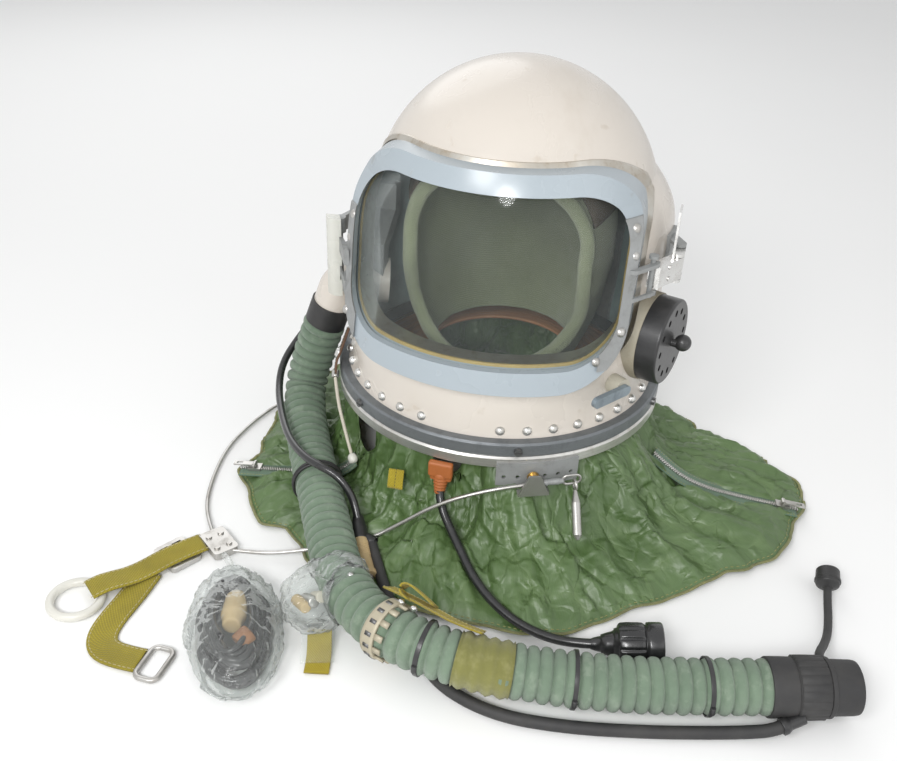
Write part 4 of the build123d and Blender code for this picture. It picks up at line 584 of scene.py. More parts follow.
finishes = {
    "whiteEnamel": (enamel, (0.64, 0.59, 0.53), (0.36, 0.28, 0.18), 0.35),
    "blueEnamel": (enamel, (0.36, 0.41, 0.445), (0.22, 0.2, 0.17), 0.2),
    "turned": (metal, (0.72, 0.72, 0.70), (0.42, 0.39, 0.34), 0.3, 0.9, 0, True),
    "darkRing": (metal, (0.2, 0.215, 0.225), (0.13, 0.14, 0.15), 0.42, 0.55, 500, True),
    "steel": (metal, (0.56, 0.55, 0.53), (0.3, 0.28, 0.25), 0.34),
    "darkSteel": (metal, (0.22, 0.22, 0.22), (0.1, 0.1, 0.1), 0.4),
    "chrome": (metal, (0.78, 0.78, 0.77), (0.5, 0.48, 0.45), 0.2),
    "brass": (metal, (0.68, 0.5, 0.22), (0.35, 0.25, 0.12), 0.34),
    "greyPaint": (metal, (0.33, 0.34, 0.34), (0.19, 0.19, 0.18), 0.48, 0.25, 300),
    "blueCasting": (metal, (0.3, 0.36, 0.4), (0.16, 0.18, 0.2), 0.5, 0.4, 420),
    "bonePaint": (metal, (0.5, 0.46, 0.35), (0.3, 0.25, 0.17), 0.42, 0.15),
    "stainedRim": (metal, (0.62, 0.61, 0.57), (0.3, 0.22, 0.13), 0.3),
    "blackRubber": (rubber, (0.018, 0.018, 0.019), (0.06, 0.058, 0.055), 0.4),
    "glossyBlack": (rubber, (0.012, 0.012, 0.013), (0.04, 0.04, 0.04), 0.26, 0.2, 0.5),
    "matteBlack": (rubber, (0.022, 0.022, 0.023), (0.075, 0.072, 0.068), 0.62, 0.5),
    "orangeRubber": (rubber, (0.42, 0.13, 0.035), (0.26, 0.09, 0.03)),
    "brownRubber": (rubber, (0.33, 0.15, 0.06), (0.18, 0.09, 0.05), 0.6, 0.6),
    "beigeRubber": (rubber, (0.36, 0.33, 0.26), (0.24, 0.2, 0.13), 0.6, 0.5),
    "ochreRubber": (rubber, (0.47, 0.35, 0.13), (0.28, 0.2, 0.09), 0.6, 0.6),
    "tanRubber": (rubber, (0.56, 0.42, 0.22), (0.4, 0.29, 0.16), 0.6, 0.4),
    "boneRubber": (rubber, (0.58, 0.54, 0.45), (0.42, 0.38, 0.3), 0.55, 0.4),
    "hoseCloth": (ribbedCloth, (0.18, 0.25, 0.175), (0.11, 0.16, 0.11), (0.29, 0.35, 0.27), 1 / 150, 0.0009),
    "oliveCloth": (ribbedCloth, (0.21, 0.205, 0.055), (0.13, 0.13, 0.035), (0.3, 0.29, 0.12), 1 / 120, 0.0012),
    "hoodKnit": (knit, (0.27, 0.3, 0.18), (0.17, 0.19, 0.11), 0.0021),
    "browLeather": (leather, (0.06, 0.042, 0.026), (0.12, 0.085, 0.05)),
    "brownLeather": (leather, (0.10, 0.048, 0.024), (0.2, 0.11, 0.06)),
    # greenNylon's third colour is a painted highlight, laid along the cape's creases
    "greenNylon": (nylon, (0.095, 0.165, 0.052), (0.05, 0.095, 0.026), (0.17, 0.25, 0.1)),
    "liningFelt": (felt, (0.32, 0.42, 0.415), (0.2, 0.27, 0.27)),
    "hemThread": (webCloth, (0.3, 0.3, 0.11), (0.16, 0.18, 0.06), 0.0008),
    "yellowTape": (webCloth, (0.42, 0.33, 0.018), (0.24, 0.18, 0.01)),
    "oliveWeb": (webCloth, (0.31, 0.25, 0.015), (0.17, 0.14, 0.01), 0.0022),
    "tealTape": (webCloth, (0.12, 0.2, 0.13), (0.06, 0.11, 0.07), 0.0012),
    "thread": (webCloth, (0.5, 0.44, 0.24), (0.3, 0.25, 0.13), 0.0005),
    "darkThread": (webCloth, (0.05, 0.055, 0.035), (0.03, 0.03, 0.02), 0.0005),
    "blackPlastic": (plastic, (0.018, 0.018, 0.019), (0.07, 0.068, 0.065), 0.38),
    "creamPlastic": (plastic, (0.5, 0.47, 0.38), (0.32, 0.3, 0.25), 0.5),
    "whitePlastic": (plastic, (0.68, 0.67, 0.61), (0.5, 0.48, 0.42), 0.35),
    "milkyPlastic": (plastic, (0.72, 0.72, 0.66), (0.55, 0.54, 0.46), 0.25, 0.72),
    "visorGlass": (clearSheet, (0.5, 0.54, 0.54), 0.03, 0.03, 0.0, 0.25),
    "clearFilm": (clearSheet, (0.8, 0.81, 0.8), 0.045, 0.05, 1.2, 0.4),
}
for finishName, (maker, *settings) in finishes.items():
    finishes[finishName] = maker(Finish(finishName), *settings)
print("finishes made:", len(finishes))


def paint(piece, name):
    piece.data.materials.clear()
    piece.data.materials.append(finishes[name])
    return piece


# Pieces that repeat along a line

repeatNodes = {
    "given": ("NodeGroupInput", {}), "result": ("NodeGroupOutput", {}),
    "line": ("GeometryNodeMeshToCurve", {}), "spaced": ("GeometryNodeResampleCurve", {"mode": "LENGTH"}),
    "copies": ("GeometryNodeInstanceOnPoints", {}), "piece": ("GeometryNodeObjectInfo", {}),
    "lift": ("GeometryNodeInputNamedAttribute", {"data_type": "FLOAT_VECTOR"}),
    "tangent": ("GeometryNodeInputTangent", {}), "ahead": ("FunctionNodeAlignRotationToVector", {"axis": "X"}),
    "upright": ("FunctionNodeAlignRotationToVector", {"axis": "Z", "pivot_axis": "X"}),
    "chance": ("FunctionNodeRandomValue", {"data_type": "FLOAT_VECTOR"}),
    "low": ("ShaderNodeMath", {"operation": "MULTIPLY"}),
    "rock": ("FunctionNodeRotateRotation", {"rotation_space": "LOCAL"}),
    "real": ("GeometryNodeRealizeInstances", {}), "coat": ("GeometryNodeSetMaterial", {}),
}
repeatLinks = (
    ("given", "Geometry", "line", "Mesh"), ("line", 0, "spaced", "Curve"),
    ("given", "spacing", "spaced", "Length"), ("given", "piece", "piece", "Object"),
    ("tangent", 0, "ahead", "Vector"), ("ahead", 0, "upright", "Rotation"),
    ("lift", "Attribute", "upright", "Vector"), ("given", "looseness", "low", 0),
    ("low", 0, "chance", "Min"), ("given", "looseness", "chance", "Max"), ("given", "seed", "chance", "Seed"),
    ("upright", 0, "rock", "Rotation"), ("chance", 0, "rock", "Rotate By"), ("spaced", 0, "copies", "Points"),
    ("piece", "Geometry", "copies", "Instance"), ("rock", 0, "copies", "Rotation"), ("copies", 0, "real", 0),
    ("real", 0, "coat", "Geometry"), ("given", "finish", "coat", "Material"), ("coat", 0, "result", 0),
)


def repeatTree():
    tree = bpy.data.node_groups.new("repeatAlong", "GeometryNodeTree")
    asked = {}
    for label, kind in (("Geometry", "Geometry"), ("spacing", "Float"), ("piece", "Object"),
                        ("finish", "Material"), ("looseness", "Float"), ("seed", "Int")):
        socket = tree.interface.new_socket(label, in_out="INPUT", socket_type="NodeSocket" + kind)
        asked[label] = socket.identifier
    tree.interface.new_socket("Geometry", in_out="OUTPUT", socket_type="NodeSocketGeometry")
    made = {}
    for name, (kind, values) in repeatNodes.items():
        made[name] = tree.nodes.new(kind)
        for key, value in values.items():
            setattr(made[name], key, value)
    made["lift"].inputs["Name"].default_value = "lift"
    made["low"].inputs[1].default_value = -1
    for source, output, target, socket in repeatLinks:
        tree.links.new(made[source].outputs[output], made[target].inputs[socket])
    return tree, asked


alongTree, alongSockets = repeatTree()


def repeatAlong(points, lifts, piece, finish, spacing, looseness=0.0, closed=False):
    # copies of the piece, its x along the line and its z along the lift
    data = bpy.data.meshes.new("line")
    edges = [(k, k + 1) for k in range(len(points) - 1)] + ([(len(points) - 1, 0)] if closed else [])
    data.from_pydata([tuple(point) for point in points], edges, [])
    attribute = data.attributes.new("lift", "FLOAT_VECTOR", "POINT")
    for k in range(len(points)):
        attribute.data[k].vector = lifts if isinstance(lifts, Vector) else lifts[k]
    line = linked("line", data)
    modifier = line.modifiers.new("repeat", "NODES")
    modifier.node_group = alongTree
    for label, value in (("spacing", spacing), ("piece", piece), ("finish", finishes[finish]),
                         ("looseness", float(looseness)), ("seed", 3)):
        modifier[alongSockets[label]] = value
    bpy.context.view_layer.update()
    bake(line)
    line.data.polygons.foreach_set("use_smooth", [True] * len(line.data.polygons))
    return line


def capsule(name, length, radius):
    # a short rounded thread along x, in millimetres
    profile = ((-0.5, 0.35), (-0.42, 0.8), (-0.25, 1.0), (0.25, 1.0), (0.42, 0.8), (0.5, 0.35))
    rows = [[millimetres(along * length, share * radius * math.cos(turn), share * radius * math.sin(turn))
             for turn in turnsOf(6)] for along, share in profile]
    return gridPiece(name, rows, closedRows=True, capEnds=True)


stitchPiece = capsule("stitch", 2.6, 0.32)
smallStitch = capsule("smallStitch", 1.7, 0.24)
square = ((-1, -1), (1, -1), (1, 1), (-1, 1))


# Lights and floor

studio = {
    "key": ((-0.35, -1.3, 1.15), (0, 0, 0.12), 0.5, 8),
    "flash": ((0.1, -1.0, 0.66), (0, 0, 0.16), 0.22, 4.2),
    "fill": ((1.5, -0.8, 0.8), (0, 0, 0.12), 1.5, 4),
    "back": ((-0.9, 1.2, 1.3), (0, 0, 0.15), 1.5, 7),
    "floorColour": (0.93, 0.93, 0.925),
    "worldStrength": 0.62,
}


def areaLamp(name, place, target, size, power):
    data = bpy.data.lights.new(name, "AREA")
    data.shape = "DISK"
    data.size, data.energy = size, power
    lamp = linked(name, data)
    lamp.location = place
    lamp.rotation_euler = (Vector(target) - Vector(place)).to_track_quat("-Z", "Y").to_euler()


for lampName in ("key", "flash", "fill", "back"):
    areaLamp(lampName, *studio[lampName])

world = bpy.data.worlds.new("studio")
bpy.context.scene.world = world
world.use_nodes = True
world.node_tree.nodes.clear()
rays = makeNode(world.node_tree, "ShaderNodeLightPath", {}, {}).socket.node.outputs
cameraRay, glossyRay = (Signal(world.node_tree, rays[label]) for label in ("Is Camera Ray", "Is Glossy Ray"))
plain = cameraRay.maths("MAXIMUM", cameraRay, glossyRay * 0.75)
backdrop = makeNode(world.node_tree, "ShaderNodeBackground", {}, {
    "Color": (0.99, 0.995, 1.0), "Strength": plain * (1.0 - studio["worldStrength"]) + studio["worldStrength"],
})
world.node_tree.links.new(backdrop.socket, world.node_tree.nodes.new("ShaderNodeOutputWorld").inputs[0])

floor = meshPiece("floor", [(x * 6, y * 6, -0.0006) for x, y in square], [(0, 1, 2, 3)])
floorFinish = Finish("floorFinish")
floor.data.materials.append(floorFinish.surface(
    Base_Color=floorFinish.shade(studio["floorColour"], floorFinish.noise(3), 0.02), Roughness=0.7))
floor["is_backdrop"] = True
bpy.context.scene.view_settings.view_transform = "Standard"


# Cords: their routes are the source's, in millimetres

cordRoutes = {
    "hose": (
        (-152, -16, 111), (-170, -18.5, 59.5), (-160, -52, 36), (-131, -103, 31.5), (-103, -150, 31),
        (-79.5, -190, 30.2), (-60, -222, 28), (-37, -248, 28.2), (-12, -264.5, 29.2), (19, -274, 29.4),
        (60, -273, 25.6), (105, -264.5, 21.2), (147, -256, 20.4), (188, -244.6, 20.4), (243, -228, 21.4),
    ),
    "comm": (
        (-10, -134, 62.8), (-10, -136, 56), (-9, -140, 47.5), (-4, -146.5, 39), (5, -155.5, 31),
        (16.5, -168, 24.5), (31, -186, 18.6), (50, -202.5, 13.5), (73, -213.5, 9), (97, -220.5, 10),
        (118.5, -223, 14.6), (133.5, -219.5, 15.9),
    ),
    "lead": (
        (-146, 20, 108), (-160, 19.5, 105.5), (-173.5, 12, 96.5), (-183.5, -4, 82.5), (-190, -26, 68),
        (-183.5, -51, 57), (-165.5, -84, 53.5), (-143, -117.5, 55), (-122, -137, 56.5), (-106, -145, 57),
        (-91.5, -147.5, 54.5), (-80, -150, 45), (-72.5, -154, 33), (-67, -162, 23),
    ),
    "tube": (
        (-53, -173, 18), (-46, -183.5, 15.5), (-38, -196, 13), (-28, -211, 10.5), (-16.5, -225.5, 7),
        (-6, -237, 5), (4.5, -250, 4.6), (18, -264, 4.6), (38, -281.5, 4.6), (76, -292, 4.7), (122, -287, 4.7),
        (172, -274.5, 4.7), (213, -262, 5), (236, -255, 6.5), (248, -251.5, 8.5), (256, -246.5, 11),
    ),
    "tether": (
        (276, -198.5, 23), (274, -191, 22), (276, -181, 18), (280.5, -167, 11.5), (284.5, -150, 6),
        (286, -130, 4), (285.5, -112, 5.2), (285.2, -100, 9),
    ),
    "cable": (
        (67.8, -124.7, 69.2), (52, -132.2, 68.2), (24, -143, 63), (-7, -151, 49.5), (-36, -156, 25.5),
        (-57, -164, 12), (-77, -176, 10), (-100, -187.5, 8), (-126, -196.5, 4.5), (-146, -199.6, 3.4),
        (-158.5, -201.6, 3.4),
    ),
    "loop": (
        (-177, -191, 3.4), (-190, -176, 2.6), (-205, -152, 2.2), (-217, -113, 2.2), (-223, -78, 2.2),
        (-221, -44, 2.2), (-215, -15, 2.2), (-210, 0, 2.2), (-204.4, 7, 2.2),
    ),
    "pull": (
        (-121.6, -70.2, 92.9), (-114, -84.5, 79), (-105, -96, 66.5), (-96.5, -107, 56), (-89.5, -115.5, 47.5),
    ),
}
paths = {name: splinePath(route) for name, route in cordRoutes.items()}


# Breathing hose: a cloth cover gathered in by the coil under it

hoseShape = {
    "ribs": 69, "radius": 18.3, "groove": 3.3, "around": 40,
    "profile": ((0, 1), (0.06, 0.78), (0.16, 0.32), (0.31, 0.07), (0.5, 0), (0.69, 0.07), (0.84, 0.32),
                (0.94, 0.78)),
}
hosePath = paths["hose"]
ribPitch = hosePath.length / hoseShape["ribs"]


def makeHose(shape, path):
    chance = random.Random(11)
    stations = []
    for rib in range(shape["ribs"]):
        swell = chance.uniform(-0.3, 0.15)
        lean, phase = chance.uniform(0, 0.35), chance.uniform(0, tau)
        for place, depth in shape["profile"]:
            base = shape["radius"] + swell - depth * shape["groove"]

            def reach(turn, base=base, lean=lean * (1 - depth), phase=phase, rib=rib):
                pucker = 0.16 * math.sin(turn * 17 + rib * 2.3) + 0.1 * math.sin(turn * 29 + rib * 5.1)
                return (base + lean * math.sin(turn * 2 + phase) * 0.5 + pucker * 0.6) * mm

            stations.append(((rib + place) * ribPitch, reach))
    stations.append((path.length, (shape["radius"] - shape["groove"]) * mm))
    return paint(sweep("breathingHose", path, stations, shape["around"]), "hoseCloth")


hose = makeHose(hoseShape, hosePath)
print("hose made, length", round(hosePath.length, 3))

sleeveShape = {
    "start": 0.662, "end": 0.727, "radius": 19.3, "edge": ((0.4, 18.5), (0.6, 17.8)),
    "profile": ((0.08, 0.9), (0.25, 0.45), (0.5, 0.05), (0.75, 0.45), (0.92, 0.9)),
}


def makeSleeve(shape, path):
    # the cloth lies over the hose's own ribs
    first, last = (round(shape[end] * hoseShape["ribs"]) for end in ("start", "end"))
    stations = [(first * ribPitch - past * mm, radius * mm) for past, radius in reversed(shape["edge"])]
    for rib in range(first, last):
        for place, depth in shape["profile"]:

            def reach(turn, base=shape["radius"] - 2.3 * depth, rib=rib):
                return (base + 0.2 * math.sin(turn * 3 + rib) + 0.1 * math.sin(turn * 14 + rib * 3)) * mm

            stations.append(((rib + place) * ribPitch, reach))
    stations += [(last * ribPitch + past * mm, radius * mm) for past, radius in shape["edge"]]
    return paint(sweep("hoseSleeve", path, stations, 56, capEnds=False), "oliveCloth")


hoseSleeve = makeSleeve(sleeveShape, hosePath)


def closedRing(name, path, distance, outer, inner, around):
    # a ring round the path; outer: (distance along, radius), in millimetres
    profile = [*outer, (outer[-1][0], inner), (outer[0][0], inner), outer[0]]
    stations = [(distance + along * mm, radius * mm) for along, radius in profile]
    return turnOutwards(sweep(name, path, stations, around, capEnds=False))


clampShape = {
    "place": 0.572, "radius": 20.5, "width": 9.0, "toothReach": 0.0193, "toothPitch": tau * 0.0193 / 12,
    "windowReach": 0.02085, "windowPitch": tau * 0.0208 / 14,
    "tooth": ((-2.1, -3.8), (2.1, -3.8), (2.1, 1.64), (1.05, 3.68), (-1.05, 3.68), (-2.1, 1.64)),
    "window": ((-1.4, -2.4), (1.4, -2.4), (1.4, 2.4), (-1.4, 2.4)),
}


def makeClamp(shape, path):
    start, radius, width = shape["place"] * path.length, shape["radius"], shape["width"]
    outer = rounded([(0, 19), (0, radius), (1.6, radius + 0.5), (width - 1.6, radius + 0.5), (width, radius),
                     (width, 19)], 0.6)
    ring = closedRing("clampRing", path, start, outer, 18.4, 72)
    point, along, side, up = path.at(start + width * mm)
    outward = ringOf(Vector(), side, up, 1.0, 96)
    pieces = [paint(ring, "bonePaint")]
    # the windows are dark plates on the band's face: painted shade standing for the band's openings
    for part, half, ahead, finish in (("tooth", 0.8, 2.5, "bonePaint"), ("window", 0.5, -width / 2, "darkSteel")):
        piece = turnOutwards(prism(part, shape[part], half))
        centre, reach = point + along * (ahead * mm), shape[part + "Reach"]
        circle = [centre + direction * reach for direction in outward]
        pieces.append(repeatAlong(circle, outward, piece, finish, shape[part + "Pitch"], closed=True))
        bpy.data.objects.remove(piece)
    return joined("hoseClamp", pieces)


hoseClamp = makeClamp(clampShape, hosePath)

bandShape = {"places": (0.628, 0.79, 0.93), "width": 3.0, "radius": 19.3}


def makeBands(shape, path):
    rings = []
    width, radius = shape["width"], shape["radius"]
    for place in shape["places"]:
        outer = rounded([(0, 18.4), (0, radius), (width, radius), (width, 18.4)], 0.5)
        rings.append(paint(closedRing("band", path, place * path.length, outer, 18.3, 56), "blackPlastic"))
        point, along, side, up = path.at(place * path.length + width * mm / 2)
        rings.append(lathe("bandLock", point + up * 0.0192 - side * 0.003, side,
                           [(0, 0), (0, 1.9), (6, 1.9), (6, 0)], 0.6, 12, "blackPlastic"))
    return joined("hoseBands", rings)


hoseBands = makeBands(bandShape, hosePath)


# Connector on the hose's free end, its cap and tether

connectorShape = {
    "gripRibs": 22, "collar": ((-3, 17.4), (-3, 19.5), (6, 19.5), (13.6, 19.3), (14.4, 18.6)),
    "grip": ((14.6, 19.2, 0.6), (15.4, 19.9, 1), (24, 20, 1), (33.2, 19.8, 1), (34, 19, 0.6), (34.3, 18.5, 0)),
    "body": ((34.4, 18.9), (34.6, 19.6), (37.6, 19.6), (37.8, 18.1), (53, 17.7), (55.8, 17.2), (56, 13),
             (54.5, 12), (20, 12), (20, 0.02)),
}


def makeConnector(shape, path):
    ribs = shape["gripRibs"]
    collar, body = ([(*place, 0) for place in rounded(shape[part], soften)]
                    for part, soften in (("collar", 0.8), ("body", 0.7)))
    stations = [*collar, *shape["grip"], *body]
    stations = fluted(stations, lambda turn: 0.75 * abs(math.sin(turn * ribs / 2)) ** 0.6)
    return paint(revolve("hoseConnector", path.at(path.length), stations, ribs * 8), "matteBlack")


hoseConnector = makeConnector(connectorShape, hosePath)
barb = lathe("barb", millimetres(256, -246.5, 11), (8, 5, 2.5),
             [(-4, 4.4), (-4, 5.6), (-1, 5.6), (2, 4.2), (12, 4)], 0.5, 24, "blackPlastic")


def plainCord(name, path, radius, finish, around=18, step=0.004):
    count = max(24, round(path.length / step))
    stations = [(path.length * k / count, radius * mm) for k in range(count + 1)]
    return paint(sweep(name, path, stations, around), finish)


tether = plainCord("capTether", paths["tether"], 3.0, "matteBlack", 16, paths["tether"].length / 60)
tetherEnd, tetherAlong, _, _ = paths["tether"].at(paths["tether"].length)
cap = lathe("connectorCap", tetherEnd, tetherAlong, [
    (-3, 3.2), (-2, 5), (0, 8.6), (2.5, 9), (2.5, 9.6), (4.5, 9.6), (4.5, 9), (12, 8.7), (12.6, 8.2),
    (12.6, 6.4), (9, 6), (9, 0.02),
], 0.6, 40, "blackRubber")


# Leads at the front and the side

commCable = plainCord("commCable", paths["comm"], 3.4, "glossyBlack")
heaterLead = plainCord("heaterLead", paths["lead"], 3.2, "glossyBlack")
sideTube = plainCord("sideTube", paths["tube"], 4.2, "matteBlack")

plugShape = {
    "origin": (133.5, -219.5, 15.9), "direction": (15, 3.5, 1.3), "flutes": 12, "pins": 6, "pinReach": 6.2,
    "pin": ((-0.5, 0.02), (-0.5, 1), (7, 1), (7.8, 0.02)),
    "stations": (
        (-9, 3.5, 0), (-6, 4.6, 0), (-2, 5.4, 0), (-1.9, 6.4, 0), (2, 7.6, 0), (5.5, 8.6, 0), (7, 9.4, 0),
        (7.2, 10.6, 0), (9.2, 11, 0), (9.5, 12.4, 0), (10.2, 13.6, 0.2), (11.5, 14.4, 1), (15, 14.7, 1),
        (24, 14.7, 1), (26.4, 14.4, 1), (27.4, 13.8, 0.2), (28, 13, 0), (28.6, 13, 0), (29, 14.6, 0),
        (31, 14.9, 0), (38.6, 14.9, 0), (39.6, 14.4, 0), (40, 13.6, 0), (39.7, 11.6, 0), (38.6, 11.1, 0),
        (28.5, 11, 0), (28.3, 0.02, 0),
    ),
}


def makePlug(shape):
    along = Vector(shape["direction"]).normalized()
    side = along.cross(upwards).normalized()
    up = side.cross(along)
    origin = Vector(millimetres(*shape["origin"]))
    stations = fluted(shape["stations"], lambda turn: -1.3 * max(0.0, math.cos(turn * shape["flutes"])) ** 3)
    body = revolve("plugBody", (origin, along, side, up), stations, shape["flutes"] * 12)
    pieces = [paint(body, "glossyBlack")]
    for k in range(shape["pins"] + 1):
        place = origin + along * 0.0283
        place += spoke(side, up, tau * k / shape["pins"], shape["pinReach"] * mm if k else 0)
        pieces.append(lathe("pin", place, along, shape["pin"], 0.4, 12, "brass"))
    return joined("commPlug", pieces)


commPlug = makePlug(plugShape)

glandShape = {
    "origin": (-10, -134, 64.5), "rings": 5, "pitch": 2.6,
    "foot": (((-10, -136.6, 71), (19, 6, 13)), ((-10, -134.6, 67.5), (17, 6, 15))),
}


def makeGland(shape):
    # ringed relief below the moulded foot that holds it on the ring
    profile = [(-2.5, 0.02), (-2.5, 6.2), (0, 6.6)]
    for ring in range(shape["rings"]):
        base, size = 1.0 + ring * shape["pitch"], 6.4 - ring * 0.45
        profile += [(base, size), (base + 0.9, size), (base + 1.1, size - 1.0), (base + 2.2, size - 1.1)]
    profile += [(14, 4.3), (15.5, 3.5)]
    relief = lathe("relief", millimetres(*shape["origin"]), (0, -0.28, -1), profile, 0.3, 40, "orangeRubber", 3)
    work = bmesh.new()
    for place, size in shape["foot"]:
        bmesh.ops.create_cube(work, size=1, matrix=Matrix.LocRotScale(
            Vector(millimetres(*place)), None, Vector(millimetres(*size))))
    foot = linked("foot", bpy.data.meshes.new("foot"))
    work.to_mesh(foot.data)
    work.free()
    bevel = foot.modifiers.new("bevel", "BEVEL")
    bevel.width, bevel.segments, bevel.limit_method = 0.0018, 3, "ANGLE"
    return joined("commGlandRubber", [relief, paint(bake(foot), "orangeRubber")])


commGland = makeGland(glandShape)

leadEnds = {
    "relief": (-67, -162, 23), "sleeve": (-60.5, -176, 18.3), "along": (12, -21, -4.5),
    "branch": (-58, -172, 18.2), "gland": (-122.5, 20.6, 113.5),
    "tip": ((0, 4.4), (3.5, 4.5), (3.8, 3.5), (12, 3.4), (12.4, 2.9), (18.6, 2.8), (20, 1.6), (20, 0.02)),
}


def makeLeadConnector(shape):
    # black conical relief, tan sleeve with a flared collar, bright tip, and the branch to the tube
    near, far = Vector(shape["relief"]), Vector(shape["sleeve"])
    lean, along = far - near, Vector(shape["along"]).normalized()
    rings = []
    for k in range(6):
        base = k * 1.9
        rings += [(5 + base, 6.15), (5.9 + base, 6.15), (6 + base, 5.75), (6.8 + base, 5.75)]
    return joined("leadConnector", [
        lathe("relief", (near - lean.normalized() * 7) * mm, lean,
              [(0, 3.3), (1, 4.2), (7, 5.2), (12, 6.4), (22, 6.6), (23.5, 5.5)], 0.6, 32, "blackRubber"),
        lathe("branch", millimetres(*shape["branch"]), (5, -1, -0.2), [(-2, 5.2), (6, 5.1), (8, 4.4), (9, 4.2)],
              0.6, 24, "blackRubber"),
        lathe("sleeve", far * mm, along, [(-1, 5), (0, 6.2), (4, 6.3), *rings, (20, 6.1), (29, 6.5), (30, 7.4),
                                          (33.4, 7.6), (34, 6.9), (34, 3.4)], 0.35, 36, "tanRubber", 3),
        lathe("tip", (far + along * 33.5) * mm, along, shape["tip"], 0.4, 28, "steel"),
    ])


leadConnector = makeLeadConnector(leadEnds)
leadGland = lathe("leadGland", millimetres(*leadEnds["gland"]), (-23.5, -0.6, -5.5), [
    (-1, 7.2), (3, 7.2), (3.4, 6.2), (8, 6), (9, 5.3), (11, 5.3), (12, 4.9), (14, 4.9), (15, 4.5), (17, 4.5),
    (18, 4.1), (25.5, 3.4),
], 0.4, 28, "blackRubber")


def makeTie():
    # two turns of black cord that tie the lead to the hose
    point, along, side, up = hosePath.at(0.3 * hosePath.length)
    rings = []
    for shift in (-1.6, 1.6):
        turns = [*turnsOf(48), tau]
        loop = Path([point + along * (shift + 0.5 * math.sin(turn * 2)) * mm + spoke(side, up, turn, 0.0195)
                     for turn in turns], along)
        stations = [(k / 96 * loop.length, 1.15 * mm) for k in range(97)]
        rings.append(paint(sweep("tieTurn", loop, stations, 8), "blackRubber"))
    return joined("leadTie", rings)


# Hold-down cable and pull cord: twisted strands

cableShape = {"radius": 1.5, "strands": 6, "lay": 0.011}
pullShape = {"radius": 1.35, "strands": 8, "lay": 0.008}


def makeRope(name, path, shape, finish):
    count = round(path.length / 0.0009)
    stations = []
    for k in range(count + 1):
        distance = path.length * k / count
        stations.append((distance, lambda turn, twist=tau * distance / shape["lay"]: shape["radius"] * mm * (
            0.9 + 0.16 * abs(math.cos((turn - twist) * shape["strands"] / 2)))))
    return paint(sweep(name, path, stations, 24), finish)


holdDownCable = makeRope("holdDownCable", paths["cable"], cableShape, "steel")
cableLoop = makeRope("cableLoop", paths["loop"], cableShape, "steel")
pullCord = makeRope("pullCord", paths["pull"], pullShape, "boneRubber")
bead = lathe("cordBead", millimetres(-89.5, -115.5, 47.5), (7, -8.5, -8.5), [
    (-4.2, 1.4), (-3.6, 2.6), (-2, 3.7), (0, 4), (2, 3.7), (3.6, 2.6), (4.2, 0.02),
], 0.8, 28, "whitePlastic")


# Straps

halfSection = ((-0.5, -0.2), (-0.47, -0.42), (-0.42, -0.5), (-0.2, -0.5), (0, -0.5), (0.2, -0.5), (0.42, -0.5),
               (0.47, -0.42), (0.5, -0.2))
section = [*halfSection, *((-x, -y) for x, y in halfSection)]


def strap(name, route, width, thickness, lift, finish, wave=0.0, taper=None):
    # a flat band along the smoothed route, its face towards the lift, its edges rounded
    path = splinePath(route)
    count = max(8, round(path.length / 0.002))
    rows, uvs, middle = [], [], []
    for k in range(count + 1):
        distance = path.length * k / count
        point, along, _, _ = path.at(distance)
        across = along.cross(Vector(lift)).normalized()
        up = across.cross(along).normalized()
        size = width * (taper(k / count) if taper else 1)
        point = point + up * wave * mm * math.sin(distance / 0.013)
        rows.append([point + across * x * size * mm + up * y * thickness * mm for x, y in section])
        uvs.append([(x * width * mm + (0.05 if y > 0 else 0), distance) for x, y in section])
        middle.append((point, across, up))
    return paint(gridPiece(name, rows, closedRows=True, capEnds=True, uvs=uvs), finish), middle, path


def seams(middle, offsets, rise, piece, finish, spacing, looseness=0.12):
    # rows of copies, each at its own offset from the band's middle
    lifts = [up for _, _, up in middle]
    return [repeatAlong([point + across * offset * mm + up * rise * mm for point, across, up in middle],
                        lifts, piece, finish, spacing, looseness) for offset in offsets]


strapRoutes = {
    "web": ((-180, -202.7, 5.9), (-187, -211, 5.7), (-199, -229, 5.7), (-206, -240, 4.2), (-213, -251, 4.4),
            (-220, -261, 7), (-226.6, -270.6, 8.9), (-231.5, -277, 7)),
    "tail": ((-204, -243, 1.9), (-203, -262, 1.3), (-204.5, -296, 1.3), (-201, -311, 1.3), (-192, -319.5, 1.3),
             (-174, -320.5, 1.3), (-164.5, -320, 1.8)),
    "hose": ((-16, -236, 38), (2, -244.5, 42), (22, -252.5, 43.4), (41, -259, 43.4), (58, -260.2, 42)),
    "leather": ((-119.7, -43, 124), (-122.7, -55, 108), (-124.6, -61.2, 99.5), (-121.5, -70, 93)),
    "tab": ((-46, -133.5, 60), (-45.5, -138, 54), (-45, -141, 47)),
    "loop": ((4, -250, 44.8), (-2, -247, 45), (-5, -243, 47.6), (-1, -240.5, 50.6), (9, -244.5, 49),
             (22, -251, 45.6)),
    "wrap": ((-58, -262, 9), (-54.5, -271, 5), (-51, -281, 2), (-48, -293, 1.4)),
    "skirt": ((-59, -260, 13), (-56.5, -268, 8.6), (-53, -278, 5.2), (-50, -286, 3.2)),
    "rightZip": ((141, -22, 43), (152, -24, 36), (168, -25, 26.5), (188, -25, 20.5), (217, -20, 15),
                 (238, -16, 11.5), (262, -11.5, 7.5)),
    "leftZip": ((-96, -92, 30), (-103, -95.5, 20), (-121, -98, 12.5), (-142, -100, 10.5), (-168, -104, 8.9),
                (-194, -108, 7.3)),
}


